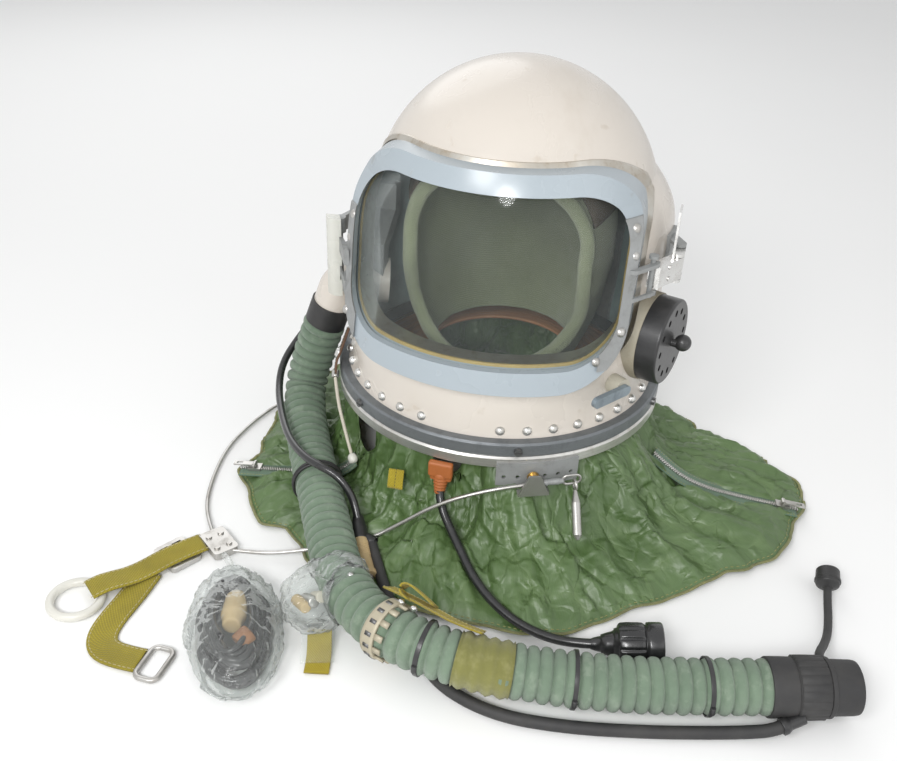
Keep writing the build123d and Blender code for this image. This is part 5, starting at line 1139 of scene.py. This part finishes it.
def makeWebbing():
    pieces = []
    for part in ("web", "tail"):
        band, middle, _ = strap("webBand", strapRoutes[part], 21.0, 1.9, upwards, "oliveWeb", 0.15)
        pieces += [band, *seams(middle, (-8.6, 8.6), 0.98, stitchPiece, "thread", 0.0036)]
    return joined("webbingStraps", pieces)


def makeHoseStrap():
    band, middle, _ = strap("hoseStrapBand", strapRoutes["hose"], 14.0, 1.4, (0, 0.62, 0.78), "yellowTape", 0.2)
    return joined("hoseStrap", [band, *seams(middle, (-5.4, 5.4), 0.74, smallStitch, "thread", 0.0027)])


def makeLeather():
    band, middle, path = strap("leatherBand", strapRoutes["leather"], 13.0, 1.9, (-0.88, -0.47, 0),
                               "brownLeather", taper=lambda share: 1.0 - 0.35 * max(0, share - 0.8) * 5)
    point, _, up = middle[len(middle) // 2]
    end, along, _, _ = path.at(path.length)
    return joined("leatherTab", [
        band, *seams(middle, (-5, 5), 0.98, smallStitch, "darkThread", 0.0026),
        lathe("snap", point + up * 0.0009, up, [(0, 5.4), (0.9, 5.4), (1.3, 4.2), (2.6, 3.4), (3, 0.02)],
              0.5, 28, "chrome"),
        lathe("strapEnd", end - along * 0.004, along, [(0, 0.02), (0, 3.2), (5.5, 3), (6.2, 2), (6.2, 0.02)],
              0.4, 16, "steel"),
    ])


webbing, hoseStrap, leatherTab = makeWebbing(), makeHoseStrap(), makeLeather()
print("leads, cable and straps made")


# Cape of thin nylon, gathered under the rings and spread over the table

capeShape = {
    "reach": 200.0, "top": 124.0, "height": 78.0, "columns": 520, "rows": 84, "fold": 7.0, "facets": 165,
    "large": (40, 3.3, 8.5), "small": (19, 7.1, 4.2), "tiny": (11, 1.9, 1.2), "rise": (-3.0, 10.5),
    "hem": (
        (-180, 0.76, 1), (-168, 0.79, 1), (-154, 0.83, 1), (-140, 0.88, 1), (-126, 0.93, 0.8), (-112, 0.99, 0.4),
        (-100, 1.025, 0), (-90, 1.02, 0), (-82, 1.01, 0), (-74, 1.025, 0), (-67, 1.03, 0), (-61, 1.125, 0),
        (-54, 1.095, 0), (-48, 1.11, 0), (-43, 1.115, 0), (-38, 1.04, 0), (-32, 1.045, 0), (-26, 1.085, 0),
        (-18, 1.06, 0.4), (-11, 1.08, 0.8), (-4, 1.075, 1), (4, 1.085, 1), (12, 1.105, 1.3), (20, 1.145, 1.7),
        (27, 1.155, 1.7), (34, 1.13, 1.7), (42, 1.105, 1.7), (49, 1.13, 1.7), (56, 1.145, 1.7), (63, 1.17, 1.7),
        (68, 1.235, 1.7), (74, 1.295, 1.7), (79, 1.31, 1.3), (84, 1.31, 1), (90, 1.35, 1), (96, 1.34, 1),
        (103, 1.215, 1), (110, 1.075, 1), (118, 0.98, 1), (128, 0.92, 1), (140, 0.85, 1), (152, 0.8, 1),
        (164, 0.77, 1), (172, 0.755, 1), (180, 0.76, 1),
    ),
    "levels": (
        (1.0, (0, 0, 0)), (0.54, (0.04, 0.06, 0.3)), (0.28, (0.12, 0.22, 0.5)), (0.15, (0.25, 0.65, 0.8)),
        (0.072, (0.9, 0.93, 0.94)), (0.02, (0.995, 0.995, 0.995)),
    ),
    "pressedBy": {"hose": 18.6, "comm": 3.6, "lead": 3.4, "tube": 4.4, "cable": 1.8, "loop": 1.8, "pull": 1.6},
}


def hemAt(shape, degrees):
    for first, second in zip(shape["hem"], shape["hem"][1:]):
        if first[0] <= degrees <= second[0]:
            share = (degrees - first[0]) / (second[0] - first[0])
            share = share * share * (3 - 2 * share)
            return [first[k] + share * (second[k] - first[k]) for k in (1, 2)]


def capeProfile(shape, degrees):
    # the fall of the cloth at one angle, as (reach, height) points evenly spaced along it
    reachShare, ease = hemAt(shape, degrees)
    corners = []
    for height, (tight, plainSpread, wide) in shape["levels"]:
        spread = tight + min(ease, 1) * (plainSpread - tight) + max(ease - 1, 0) * (wide - plainSpread)
        reach = shape["top"] + spread * (reachShare * shape["reach"] - shape["top"])
        corners.append((reach, height * shape["height"], 0))
    line = Path(corners)
    points = [line.at(line.length * k / (shape["rows"] - 1))[0] for k in range(shape["rows"])]
    for _ in range(8):
        eased = [(a + b * 2 + c) / 4 for a, b, c in zip(points, points[1:], points[2:])]
        points = [points[0], *eased, points[-1]]
    return points


def pressers(shape):
    # what lies on the cape: points of its middle line and its radius, in squares of 30 mm
    samples = []
    for name, radius in shape["pressedBy"].items():
        path = paths[name]
        samples += [(path.at(path.length * k / 240)[0] / mm, radius) for k in range(241)]
    for name in ("rightZip", "leftZip"):
        path = splinePath(strapRoutes[name])
        samples += [(path.at(path.length * k / 80)[0] / mm + upwards * 5.2, 6.6) for k in range(81)]
    grid = {}
    for point, radius in samples:
        grid.setdefault((int(point.x // 30), int(point.y // 30)), []).append((point, radius))
    return grid


def heldDown(grid, x, y, z):
    clear, reach = 1.4, 14
    for i in (-1, 0, 1):
        for j in (-1, 0, 1):
            for point, radius in grid.get((int(x // 30) + i, int(y // 30) + j), ()):
                gap = math.hypot(x - point.x, y - point.y)
                if gap < radius + reach:
                    drop = -(gap - radius) * 1.1 if gap > radius else math.sqrt(max(0, radius ** 2 - gap ** 2))
                    z = min(z, point.z - drop - clear)
    return z


def crumple(x, y, z, size, seed):
    # flat facets that meet in sharp creases
    place = Vector((x / size + seed, y / size - seed, z / size))
    centre = noise.voronoi(place)[1][0]
    return (centre - place).dot(noise.noise_vector(centre * 3.1)) * 1.6 + noise.noise(centre * 1.7) * 0.5


def capePoint(shape, grid, turn, profile, place):
    last = shape["rows"] - 1
    share = place / last
    reach, height = profile[place].x, profile[place].y
    ahead = Vector((math.sin(turn), -math.cos(turn), 0))
    tangent = profile[min(place + 1, last)] - profile[max(place - 1, 0)]
    outward = Vector((tangent.y, -tangent.x)).normalized()
    if outward.y < 0:
        outward = -outward
    base = ahead * reach
    wander = noise.noise(Vector((base.x / 60, base.y / 60, height / 60))) * 9
    hold = min(1, share / 0.16) * (0.35 + 0.65 * min(1, (1 - share) / 0.12))
    folds = noise.ridged_multi_fractal(
        Vector((math.sin(turn) * 7.5 + wander * 0.05, math.cos(turn) * 7.5, share * 1.3)), 0.9, 2.0, 3, 1.0, 1.6)
    fall, around = share * 150 + wander, ahead * shape["facets"]
    lift = (folds - 1.1) * shape["fold"] * 0.9
    for (size, seed, depth), spot in (
        (shape["large"], (around.x + wander, around.y, fall * 0.42)),
        (shape["small"], (around.x, around.y + wander, fall * 0.5)), (shape["tiny"], (base.x, base.y, height)),
    ):
        lift += crumple(*spot, size, seed) * depth
    lift = lift * hold + (2.0 + 3.0 * min(1, share * 2)) * hold
    lift = max(shape["rise"][0], min(shape["rise"][1], lift))
    sideways = noise.noise(Vector((base.x / 22, base.y / 22, height / 22 + 9))) * 3.0 * hold
    x = base.x + ahead.x * outward.x * lift - ahead.y * sideways
    y = base.y + ahead.y * outward.x * lift + ahead.x * sideways
    z = heldDown(grid, x, y, height + outward.y * lift * (1.0 if height > 6 else 0.9))
    if place > 4:
        z = min(z, 76.0)
    return Vector((x, y, max(z, 1.0))) * mm


def makeCape(shape):
    grid = pressers(shape)
    columns = []
    for column in range(shape["columns"]):
        degrees = -180 + 360 * column / shape["columns"]
        profile = capeProfile(shape, degrees)
        columns.append([capePoint(shape, grid, math.radians(degrees), profile, k) for k in range(shape["rows"])])
    rows = list(zip(*columns))
    uvs = [[(0.9 * column / shape["columns"], row * 0.0024) for column in range(shape["columns"])]
           for row in range(shape["rows"])]
    piece = turnOutwards(gridPiece("capeSheet", rows, closedRows=True, uvs=uvs))
    if piece.data.polygons[len(piece.data.polygons) // 2].normal.z < 0:
        piece.data.flip_normals()
    return paint(thicken(piece, 0.0007), "greenNylon"), rows


def closedRoll(name, points, radius, finish, around, flat, uvStep, centre=None, lumps=0.0):
    # a soft roll on a closed line, turned to the line's centre or else kept upright
    count = len(points)
    rows = []
    for k, point in enumerate(points):
        along = (points[(k + 1) % count] - points[k - 1]).normalized()
        if centre:
            outward = (point - centre).normalized()
            side = (outward - along * outward.dot(along)).normalized()
            up = along.cross(side)
        else:
            side = along.cross(upwards).normalized()
            up = side.cross(along)
        rows.append([point + spoke(side, up * flat, turn, radius * (
            1 + lumps * noise.noise(point * 55 + Vector((turn, 0, 0))))) for turn in turnsOf(around)])
    uvs = [[(j * uvStep[0], k * uvStep[1]) for j in range(around)] for k in range(count)]
    return paint(turnOutwards(gridPiece(name, rows, closedRows=True, closedColumns=True, uvs=uvs)), finish)


def looseRoll(name, points, radius, finish, lumps=0.12):
    centre = sum(points, Vector()) / len(points)
    return closedRoll(name, points, radius, finish, 20, 0.8, (0.0018, 0.0026), centre, lumps)


cape, capeRows = makeCape(capeShape)
hem = joined("capeHem", [
    repeatAlong([point + upwards * 0.0004 for point in capeRows[-3]], upwards, stitchPiece, "hemThread",
                0.0046, 0.2, closed=True),
    closedRoll("hemRoll", [point + upwards * 0.0008 for point in capeRows[-1]], 0.0013, "hemThread", 8, 0.6,
               (1 / 8, 0.0025)),
])
print("cape made:", len(cape.data.polygons), "faces")


# Zips: tape, teeth and seams

def makeZip(route):
    band, middle, _ = strap("zipTape", route, 21.0, 0.9, upwards, "tealTape")
    pieces = [band]
    for shift, side in ((0, 0.9), (1, -0.9)):
        tooth = prism("tooth", [(x * 0.55 + shift, y * 1.1 + side) for x, y in square], 0.9, 0.6)
        pieces += seams(middle, [0], 0.4, tooth, "steel", 0.0020, 0.0)
        bpy.data.objects.remove(tooth)
    return pieces + seams(middle, (-8.6, 8.6), 0.5, smallStitch, "hemThread", 0.0026)


zips = joined("zipTapes", makeZip(strapRoutes["rightZip"]) + makeZip(strapRoutes["leftZip"]))


# Knitted hood with its face edge, brow band and crown pad

hoodShape = {
    "base": 108.0, "height": 206.0, "halfWidth": 84.0, "centreY": 12.0, "around": 200, "rising": 110,
    "heights": (0, 0.16, 0.4, 0.64, 0.82, 0.94, 1), "widths": (0.74, 0.88, 1, 0.97, 0.78, 0.48, 0.2),
    "faceHalf": 68.0, "faceTall": 80.0, "faceMiddle": 196.0, "faceRadius": 60.0, "edgePoints": 220,
    "brow": ((5, 0.6), (8, 2.4), (12, 3), (16, 2.4), (19, 0.6)),
    "crown": ((0, 0.02), (0, 30), (6, 31), (9, 33.6), (14, 33.8), (19, 31.5), (21.4, 25), (22, 14),
              (22.2, 0.02)),
}


def smoothTable(xs, ys, x):
    # a smooth line through the table's points
    last = len(xs) - 1
    k = min(bisect.bisect_left(xs, x, 1), last) - 1

    def slope(place):
        low, high = max(place - 1, 0), min(place + 1, last)
        return (ys[high] - ys[low]) / (xs[high] - xs[low])

    span = xs[k + 1] - xs[k]
    share = (x - xs[k]) / span
    square, cube = share * share, share ** 3
    return ((2 * cube - 3 * square + 1) * ys[k] + (cube - 2 * square + share) * span * slope(k)
            + (3 * square - 2 * cube) * ys[k + 1] + (cube - square) * span * slope(k + 1))


def faceDistance(shape, x, z, growth=0.0):
    # signed distance to the face opening's rounded outline, negative inside it
    over = abs(x) - (shape["faceHalf"] - shape["faceRadius"])
    rise = abs(z - shape["faceMiddle"] - growth) - (shape["faceTall"] - shape["faceRadius"])
    return math.hypot(max(over, 0), max(rise, 0)) + min(max(over, rise), 0) - shape["faceRadius"] - growth


def hoodRadius(shape, share):
    return smoothTable(shape["heights"], shape["widths"], share) * shape["halfWidth"]


def hoodPoint(shape, share, turn, growth=0.0):
    radius = hoodRadius(shape, share) + growth
    return Vector((radius * math.sin(turn), shape["centreY"] - radius * math.cos(turn),
                   shape["base"] + share * shape["height"]))


def makeHood(shape):
    rows = []
    around, rising = shape["around"], shape["rising"]
    for level in range(rising + 1):
        row = []
        for turn in turnsOf(around):
            point = hoodPoint(shape, level / rising, turn)
            soft = noise.noise(point / 26) * 1.6 + noise.noise(point / 9) * 0.5 - 1.0
            row.append(hoodPoint(shape, level / rising, turn, soft) * mm)
        rows.append(row)
    uvs = [[(k / around, level * 0.21 / rising) for k in range(around)] for level in range(rising + 1)]
    piece = gridPiece("hoodKnit", rows, closedRows=True, uvs=uvs)
    work = bmesh.new()
    work.from_mesh(piece.data)
    layer = work.loops.layers.uv.active
    for face in work.faces:
        for loop in face.loops:
            loop[layer].uv = (loop[layer].uv[0] * 0.52, loop[layer].uv[1])
    front = shape["centreY"] * mm
    middles = [(face, face.calc_center_median()) for face in work.faces]
    gone = [face for face, spot in middles
            if spot.y < front and faceDistance(shape, spot.x / mm, spot.z / mm) < 0]
    bmesh.ops.delete(work, geom=gone, context="FACES")
    top = (shape["base"] + shape["height"] - 1) * mm
    crown = [edge for edge in work.edges if edge.is_boundary and min(vert.co.z for vert in edge.verts) > top]
    bmesh.ops.contextual_create(work, geom=crown)
    # the cut edge is drawn on to the outline itself
    for vert in work.verts:
        if vert.is_boundary and vert.co.y < front and vert.co.z > (shape["base"] + 2) * mm:
            for _ in range(4):
                x, z = vert.co.x / mm, vert.co.z / mm
                distance = faceDistance(shape, x, z)
                slope = Vector((faceDistance(shape, x + 0.1, z) - distance, 0,
                                faceDistance(shape, x, z + 0.1) - distance)) * 10
                vert.co -= slope * distance * mm * 0.8
    work.to_mesh(piece.data)
    work.free()
    return paint(thicken(piece, 0.0045), "hoodKnit")


def faceLine(shape, growth, ahead=0.0):
    # points on the hood's surface along its face opening, which is grown a little
    points = []
    for turn in turnsOf(shape["edgePoints"]):
        across, rise, reach = math.sin(turn), math.cos(turn), 150.0
        for _ in range(40):
            reach -= faceDistance(shape, across * reach, shape["faceMiddle"] + rise * reach, growth) * 0.9
        x, z = across * reach, shape["faceMiddle"] + rise * reach
        radius = hoodRadius(shape, (z - shape["base"]) / shape["height"])
        depth = math.sqrt(max(1.0, radius ** 2 - x ** 2))
        points.append(Vector((x, shape["centreY"] - depth - ahead, z)) * mm)
    return points


def makeBrow(shape):
    # a leather band over the forehead, just outside the face edge
    lines = [faceLine(shape, growth, lift) for growth, lift in shape["brow"]]
    order = sorted((k for k, point in enumerate(lines[1]) if point.z > 0.236), key=lambda k: lines[1][k].x)
    uvs = [[(j * 0.004, place * 0.004) for j in range(len(lines))] for place in range(len(order))]
    piece = gridPiece("browBand", [[line[k] for line in lines] for k in order], uvs=uvs)
    return paint(thicken(piece, 0.0014, 0), "browLeather")


liner = joined("linerHood", [
    makeHood(hoodShape), looseRoll("hoodRoll", faceLine(hoodShape, 1.0), 0.0058, "hoodKnit"),
    repeatAlong(faceLine(hoodShape, 2.0, 5.2), Vector((0, -1, 0)), smallStitch, "darkThread", 0.0036, 0.2,
                closed=True),
    makeBrow(hoodShape),
    lathe("crownPad", millimetres(0, 12, 303), upwards, hoodShape["crown"], 2.0, 48, "hoodKnit"),
])
print("hood made")


# Neck seal with the moulded rings of its cone

sealShape = {"steps": 40, "rings": 6, "ripple": 0.7, "outer": (86, 119.6, 57.2), "inner": (84, 117.6, 55.4)}


def makeSeal(shape):
    def wall(line, places):
        radius, top, fall = shape[line]
        for place in places:
            share = place / shape["steps"]
            ripple = shape["ripple"] * math.sin(share * tau * shape["rings"])
            yield radius + share * 16.4 + ripple, top - share * fall

    steps = shape["steps"]
    profile = [(79, 119.6), (85.4, 119.6), *wall("outer", range(1, steps)), (103, 62.2), (101, 62),
               *wall("inner", range(steps, 0, -1)), (79, 117.6), (79, 119.6)]
    return turnOutwards(lathe("neckSeal", (0, 0, 0), upwards, profile, 0, 120, "brownRubber"))


neckSeal = makeSeal(sealShape)


# Spare lead coiled in a clear bag

bagShape = {
    "centre": (-112.0, -283.0), "turn": -62.0, "length": 118.0, "width": 66.0, "height": 34.0,
    "around": 150, "rising": 46, "heights": (0, 0.12, 0.4, 0.75, 1), "widths": (0.82, 0.94, 1, 0.8, 0.42),
    "coils": ((3, 3.3, 45, 23, 6), (8, 3.3, 40, 19, 13.5), (5, 2, 33, 15, 20)), "turns": 4,
    "neck": ((-130, -256, 14), (-139, -239, 11), (-148.5, -216.5, 4.4), (-159.4, -208.3, 3.7)),
}


def bagPlace(shape, x, y, z):
    turn = math.radians(shape["turn"])
    return Vector((shape["centre"][0] + x * math.cos(turn) - y * math.sin(turn),
                   shape["centre"][1] + x * math.sin(turn) + y * math.cos(turn), z)) * mm


def makeFilm(shape):
    rows = []
    for level in range(shape["rising"] + 1):
        share = level / shape["rising"]
        size = smoothTable(shape["heights"], shape["widths"], share) if share < 1 else shape["widths"][-1]
        if share > 0.94:
            size *= 1 - ((share - 0.94) / 0.06) ** 2 * 0.5
        row = []
        for turn in turnsOf(shape["around"]):
            x, y = math.cos(turn) * size * shape["length"] / 2, math.sin(turn) * size * shape["width"] / 2
            z = share * shape["height"]
            fold, fine = crumple(x, y, z, 15, 4.0), crumple(x, y, z, 6, 2.0)
            swell = 1 + (fold * 0.075 + fine * 0.035) * min(1, share * 6 + 0.2)
            z = max(0.6, z + (fold * 2.2 + fine) * min(1, share * 3))
            row.append(bagPlace(shape, x * swell, y * swell, z))
        rows.append(row)
    return paint(thicken(gridPiece("bagFilm", rows, closedRows=True, capEnds=True), 0.0003), "clearFilm")


def makeCoil(shape, seed, radius, long, wide, rise):
    chance = random.Random(seed)
    count = shape["turns"] * 10
    points = []
    for k in range(count):
        turn, swing = tau * k / 10, 1 + chance.uniform(-0.16, 0.16)
        points.append(bagPlace(shape, math.cos(turn) * long * swing, math.sin(turn) * wide * swing,
                               rise + 9 * k / count + chance.uniform(-1.5, 2.0)) / mm)
    return plainCord("coil", splinePath(points), radius, "glossyBlack", 10, 0.0035)


def makeNeck(shape, count=60):
    path = splinePath(shape["neck"])
    stations = []
    for k in range(count + 1):
        size = 3.0 + 4.2 * max(0, 1 - k / count * 3) ** 2
        stations.append((k / count * path.length, lambda turn, size=size, share=k / count: (
            size * (1 + 0.22 * math.sin(turn * 5 + share * 9) * min(1, 0.3 + (1 - share)))) * mm * 0.86))
    return paint(sweep("bagNeck", path, stations, 26), "clearFilm")


def makeBag(shape):
    tanStart, tanEnd = bagPlace(shape, -20, 3, 22), bagPlace(shape, 12, -2, 25)
    return joined("spareLeadBag", [
        makeFilm(shape), makeNeck(shape), *(makeCoil(shape, *coil) for coil in shape["coils"]),
        lathe("tanEnd", tanStart, tanEnd - tanStart,
              [(0, 0.02), (0, 8), (20, 9), (24, 7), (30, 6.5), (30, 0.02)], 2.0, 24, "tanRubber"),
        lathe("bead", bagPlace(shape, 24, 2, 23), (0.3, 0.6, 0.2),
              [(0, 0.02), (0, 6.5), (11, 6.5), (11, 0.02)], 1.5, 20, "brownRubber"),
    ])


bag = makeBag(bagShape)
print("zips, seal and bag made")


# Ferrule and eye on the hold-down cable

ferruleShape = {
    "eyeMiddle": 20.8, "eyeRadius": 3.9, "eyeHalf": 3.0, "wire": 0.00108,
    "profile": ((0, 1.4), (0, 2.5), (3, 2.6), (3.3, 2.3), (6.5, 2.3), (6.8, 2.6), (12, 2.6), (12.3, 2.3),
                (15, 2.3), (16, 1.6), (16, 0.02)),
}


def makeCableEnd(shape):
    start, second = (Vector(place) for place in cordRoutes["cable"][:2])
    along = (start - second).normalized()
    across = along.cross(upwards).normalized().cross(along)
    middle = start + along * shape["eyeMiddle"]
    loop = []
    for turn in turnsOf(72):
        x, y = math.cos(turn) * shape["eyeRadius"], math.sin(turn) * shape["eyeRadius"]
        stretch = math.copysign(shape["eyeHalf"], x) if abs(x) > 0.001 else 0
        loop.append((middle + along * (x + stretch) + across * y) * mm)
    ferrule = lathe("ferrule", (start - along) * mm, along, shape["profile"], 0.3, 24, "greyPaint")
    return joined("cableEnd", [ferrule, looseRoll("eye", loop, shape["wire"], "steel", 0.03)])


cableEnd = makeCableEnd(ferruleShape)


# Clip in clear wrap on the outside of the hose's bend, with the end of its strap

wrapShape = {
    "centre": (-67.0, -246.0, 22.0), "half": (24, 29, 20.5), "around": 84, "rising": 34, "clear": 20.2,
    "parts": ("tanRubber", "steel", "boneRubber", "brownRubber"),
    "part": ((-9, 0.02), (-9, 4.2), (9, 4.2), (9, 0.02)),
}


def makeWrap(shape):
    centre = Vector(shape["centre"])
    samples = [hosePath.at(hosePath.length * (0.3 + 0.3 * k / 120))[0] / mm for k in range(121)]
    rows = []
    for level in range(shape["rising"] + 1):
        tilt = math.pi * level / shape["rising"]
        row = []
        for turn in turnsOf(shape["around"]):
            direction = (math.sin(tilt) * math.cos(turn), math.sin(tilt) * math.sin(turn), -math.cos(tilt))
            point = Vector([share * half for share, half in zip(direction, shape["half"])])
            fine = crumple(*point, 5, 2.0)
            point = centre + point * (1 + crumple(*point, 11, 6.0) * 0.13 + fine * 0.06)
            near = min(samples, key=lambda sample: (point - sample).length)
            if (point - near).length < shape["clear"]:
                point = near + (point - near).normalized() * (shape["clear"] + fine)
            row.append(Vector((point.x, point.y, max(0.7, point.z))) * mm)
        rows.append(row)
    film = turnOutwards(gridPiece("wrapFilm", rows, closedRows=True))
    pieces = [
        paint(thicken(film, 0.0003), "clearFilm"),
        strap("wrapStrap", strapRoutes["wrap"], 17.0, 1.3, upwards, "yellowTape", 0.1)[0],
        strap("wrapSkirt", strapRoutes["skirt"], 23.0, 0.3, upwards, "clearFilm", 0.9)[0],
    ]
    for k, finish in enumerate(shape["parts"]):
        place = centre + Vector((-9 + k * 5, -6 + k * 3.5, -3 + 1.5 * k))
        pieces.append(lathe("clipPart", place * mm, (0.6, -0.5, 0.25 + 0.2 * k), shape["part"], 1.4, 14, finish))
    return joined("wrappedClip", pieces)


wrappedClip = makeWrap(wrapShape)


# Strap loop on the hose's upper side with its hooks, and the yellow tab beside the gland

loopShape = {
    "hooks": ((-43, -240, 45), (-1, -254.5, 46), (9, -258, 46.5)),
    "hook": ((-1.5, 0.02), (-1.5, 2.4), (0.8, 2.4), (1.9, 1.2), (1.9, 0.02)),
}


def makeLoop(shape):
    hooks = [lathe("hookHead", millimetres(*place), (0.1, 0.3, 1), shape["hook"], 0.5, 16, "chrome")
             for place in shape["hooks"]]
    band, _, _ = strap("strapLoop", strapRoutes["loop"], 13.0, 1.3, (0.1, 0.75, 0.65), "yellowTape", 0.1)
    return joined("strapLoopSet", [band, *hooks])


def makeYellowTab():
    band, middle, _ = strap("yellowTab", strapRoutes["tab"], 13.0, 1.2, (-0.15, -0.9, 0.4), "yellowTape")
    return joined("yellowTabSet", [band, *seams(middle, [0], 0.62, smallStitch, "darkThread", 0.0024)])


strapLoop, yellowTab, leadTie = makeLoop(loopShape), makeYellowTab(), makeTie()
for pattern in (stitchPiece, smallStitch):
    bpy.data.objects.remove(pattern)


# Finishes of the pieces whose shape is the CAD's own

nodeFinishes = {
    "whiteEnamel": "shell inlet_elbow", "blueEnamel": "visor_frame", "stainedRim": "visor_seat_frame",
    "turned": "lower_ring shell_rivets", "darkRing": "upper_ring", "darkSteel": "index_studs",
    "steel": "adjuster_buckle bearing_balls cable_plate pulley_bracket link_ring zip_pull_left zip_pull_right "
             "zip_slider_left zip_slider_right tether_hook frame_rivets",
    "chrome": "latch_lever latch_link", "brass": "pulley_roller", "blueCasting": "crank_lever",
    "greyPaint": "hinge_bracket hinge_strip front_tab inner_brackets latch_base latch_strip",
    "creamPlastic": "crank_boss", "blackPlastic": "valve_body valve_toggle", "blackRubber": "hose_cuff",
    "beigeRubber": "valve_gasket", "ochreRubber": "visor_gasket", "liningFelt": "shell_lining",
    "milkyPlastic": "hinge_cover", "visorGlass": "visor_glass", "whitePlastic": "pull_ring",
}
for finish, names in nodeFinishes.items():
    for node in names.split():
        paint(nodes[node], finish)


# What each piece rides on, its slot, and the CAD nodes whose place it takes

hoseBend = ("base", "helmet", millimetres(-131, -103, 31.5), millimetres(-152, -16, 111))
leadBend = ("base", "helmet", millimetres(-183.5, -51, 57), millimetres(-146, 20, 108))
rides = (
    (hose, hoseBend, "green_cloth", "hose"), (hoseSleeve, "base", "olive_cloth", "hose_sleeve"),
    (hoseBands, "base", "black_plastic", "hose_bands"), (hoseClamp, "base", "tan_metal"),
    (hoseConnector, "base", "black_rubber", "hose_connector"), (barb, "base", "black_plastic"),
    (hoseStrap, "base", "yellow_tape", "hose_strap"), (commCable, "base", "black_rubber", "comm_cable"),
    (commGland, "base", "orange_rubber", "comm_gland"), (commPlug, "base", "black_plastic", "comm_plug"),
    (heaterLead, leadBend, "black_rubber", "heater_lead"), (leadGland, "helmet", "black_rubber", "lead_gland"),
    (leadConnector, "base", "tan_rubber", "lead_connector"), (sideTube, "base", "black_rubber", "side_tube"),
    (tether, "base", "black_rubber", "cap_tether"), (cap, "base", "black_rubber"),
    (cape, "base", "green_nylon", "cape"), (hem, "base", "olive_cloth"),
    (zips, "base", "teal_tape", "zip_tapes"), (liner, "helmet", "olive_cloth", "liner_hood"),
    (neckSeal, "base", "brown_rubber", "neck_seal"), (bag, "base", "clear_bag", "spare_lead_bag"),
    (webbing, "base", "yellow_tape", "webbing"), (leatherTab, "helmet", "brown_leather", "leather_strap"),
    (pullCord, "helmet", "brown_leather"), (bead, "helmet", "white_plastic"),
    (holdDownCable, "base", "steel_fittings", "hold_down_cable"), (cableLoop, "base", "steel_fittings"),
    (cableEnd, "base", "steel_fittings"), (wrappedClip, "base", "clear_bag"), (strapLoop, "base", "yellow_tape"),
    (yellowTab, "base", "yellow_tape"), (leadTie, "base", "black_rubber"),
)
for piece, body, slot, *replaced in rides:
    if isinstance(body, tuple):
        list(body)
        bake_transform(piece)
    else:
        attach(piece, body)
    if replaced:
        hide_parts(*replaced)


# Cords, with points along each one's line

cords = (
    (hose, "hose", 0.0364, "connector", "stiff", [hoseSleeve, hoseBands, hoseClamp, hoseConnector]),
    (commCable, "comm", 0.0068, "plug", "medium", [commPlug]),
    (heaterLead, "lead", 0.0064, "connector", "medium", [leadConnector]),
    (sideTube, "tube", 0.0084, "object", "medium", ()), (tether, "tether", 0.006, "fitting", "stiff", [cap]),
    (holdDownCable, "cable", 0.003, "object", "stiff", [cableEnd]),
    (cableLoop, "loop", 0.003, "object", "stiff", ()), (pullCord, "pull", 0.0027, "knot", "limp", [bead]),
)
for piece, name, diameter, farEnd, stiffness, withPieces in cords:
    path = paths[name]
    count = max(40, round(path.length / 0.002))
    line = [tuple(path.at(path.length * k / count)[0]) for k in range(count + 1)]
    tuple(path.points[0])
    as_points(line)
    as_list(withPieces)


def plainLists(value):
    if isinstance(value, dict):
        return {key: plainLists(item) for key, item in value.items()}
    if isinstance(value, (int, float, str)) or value is None:
        return value
    return [plainLists(item) for item in value]


plainLists({"cad": cadBox, "visual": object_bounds()})
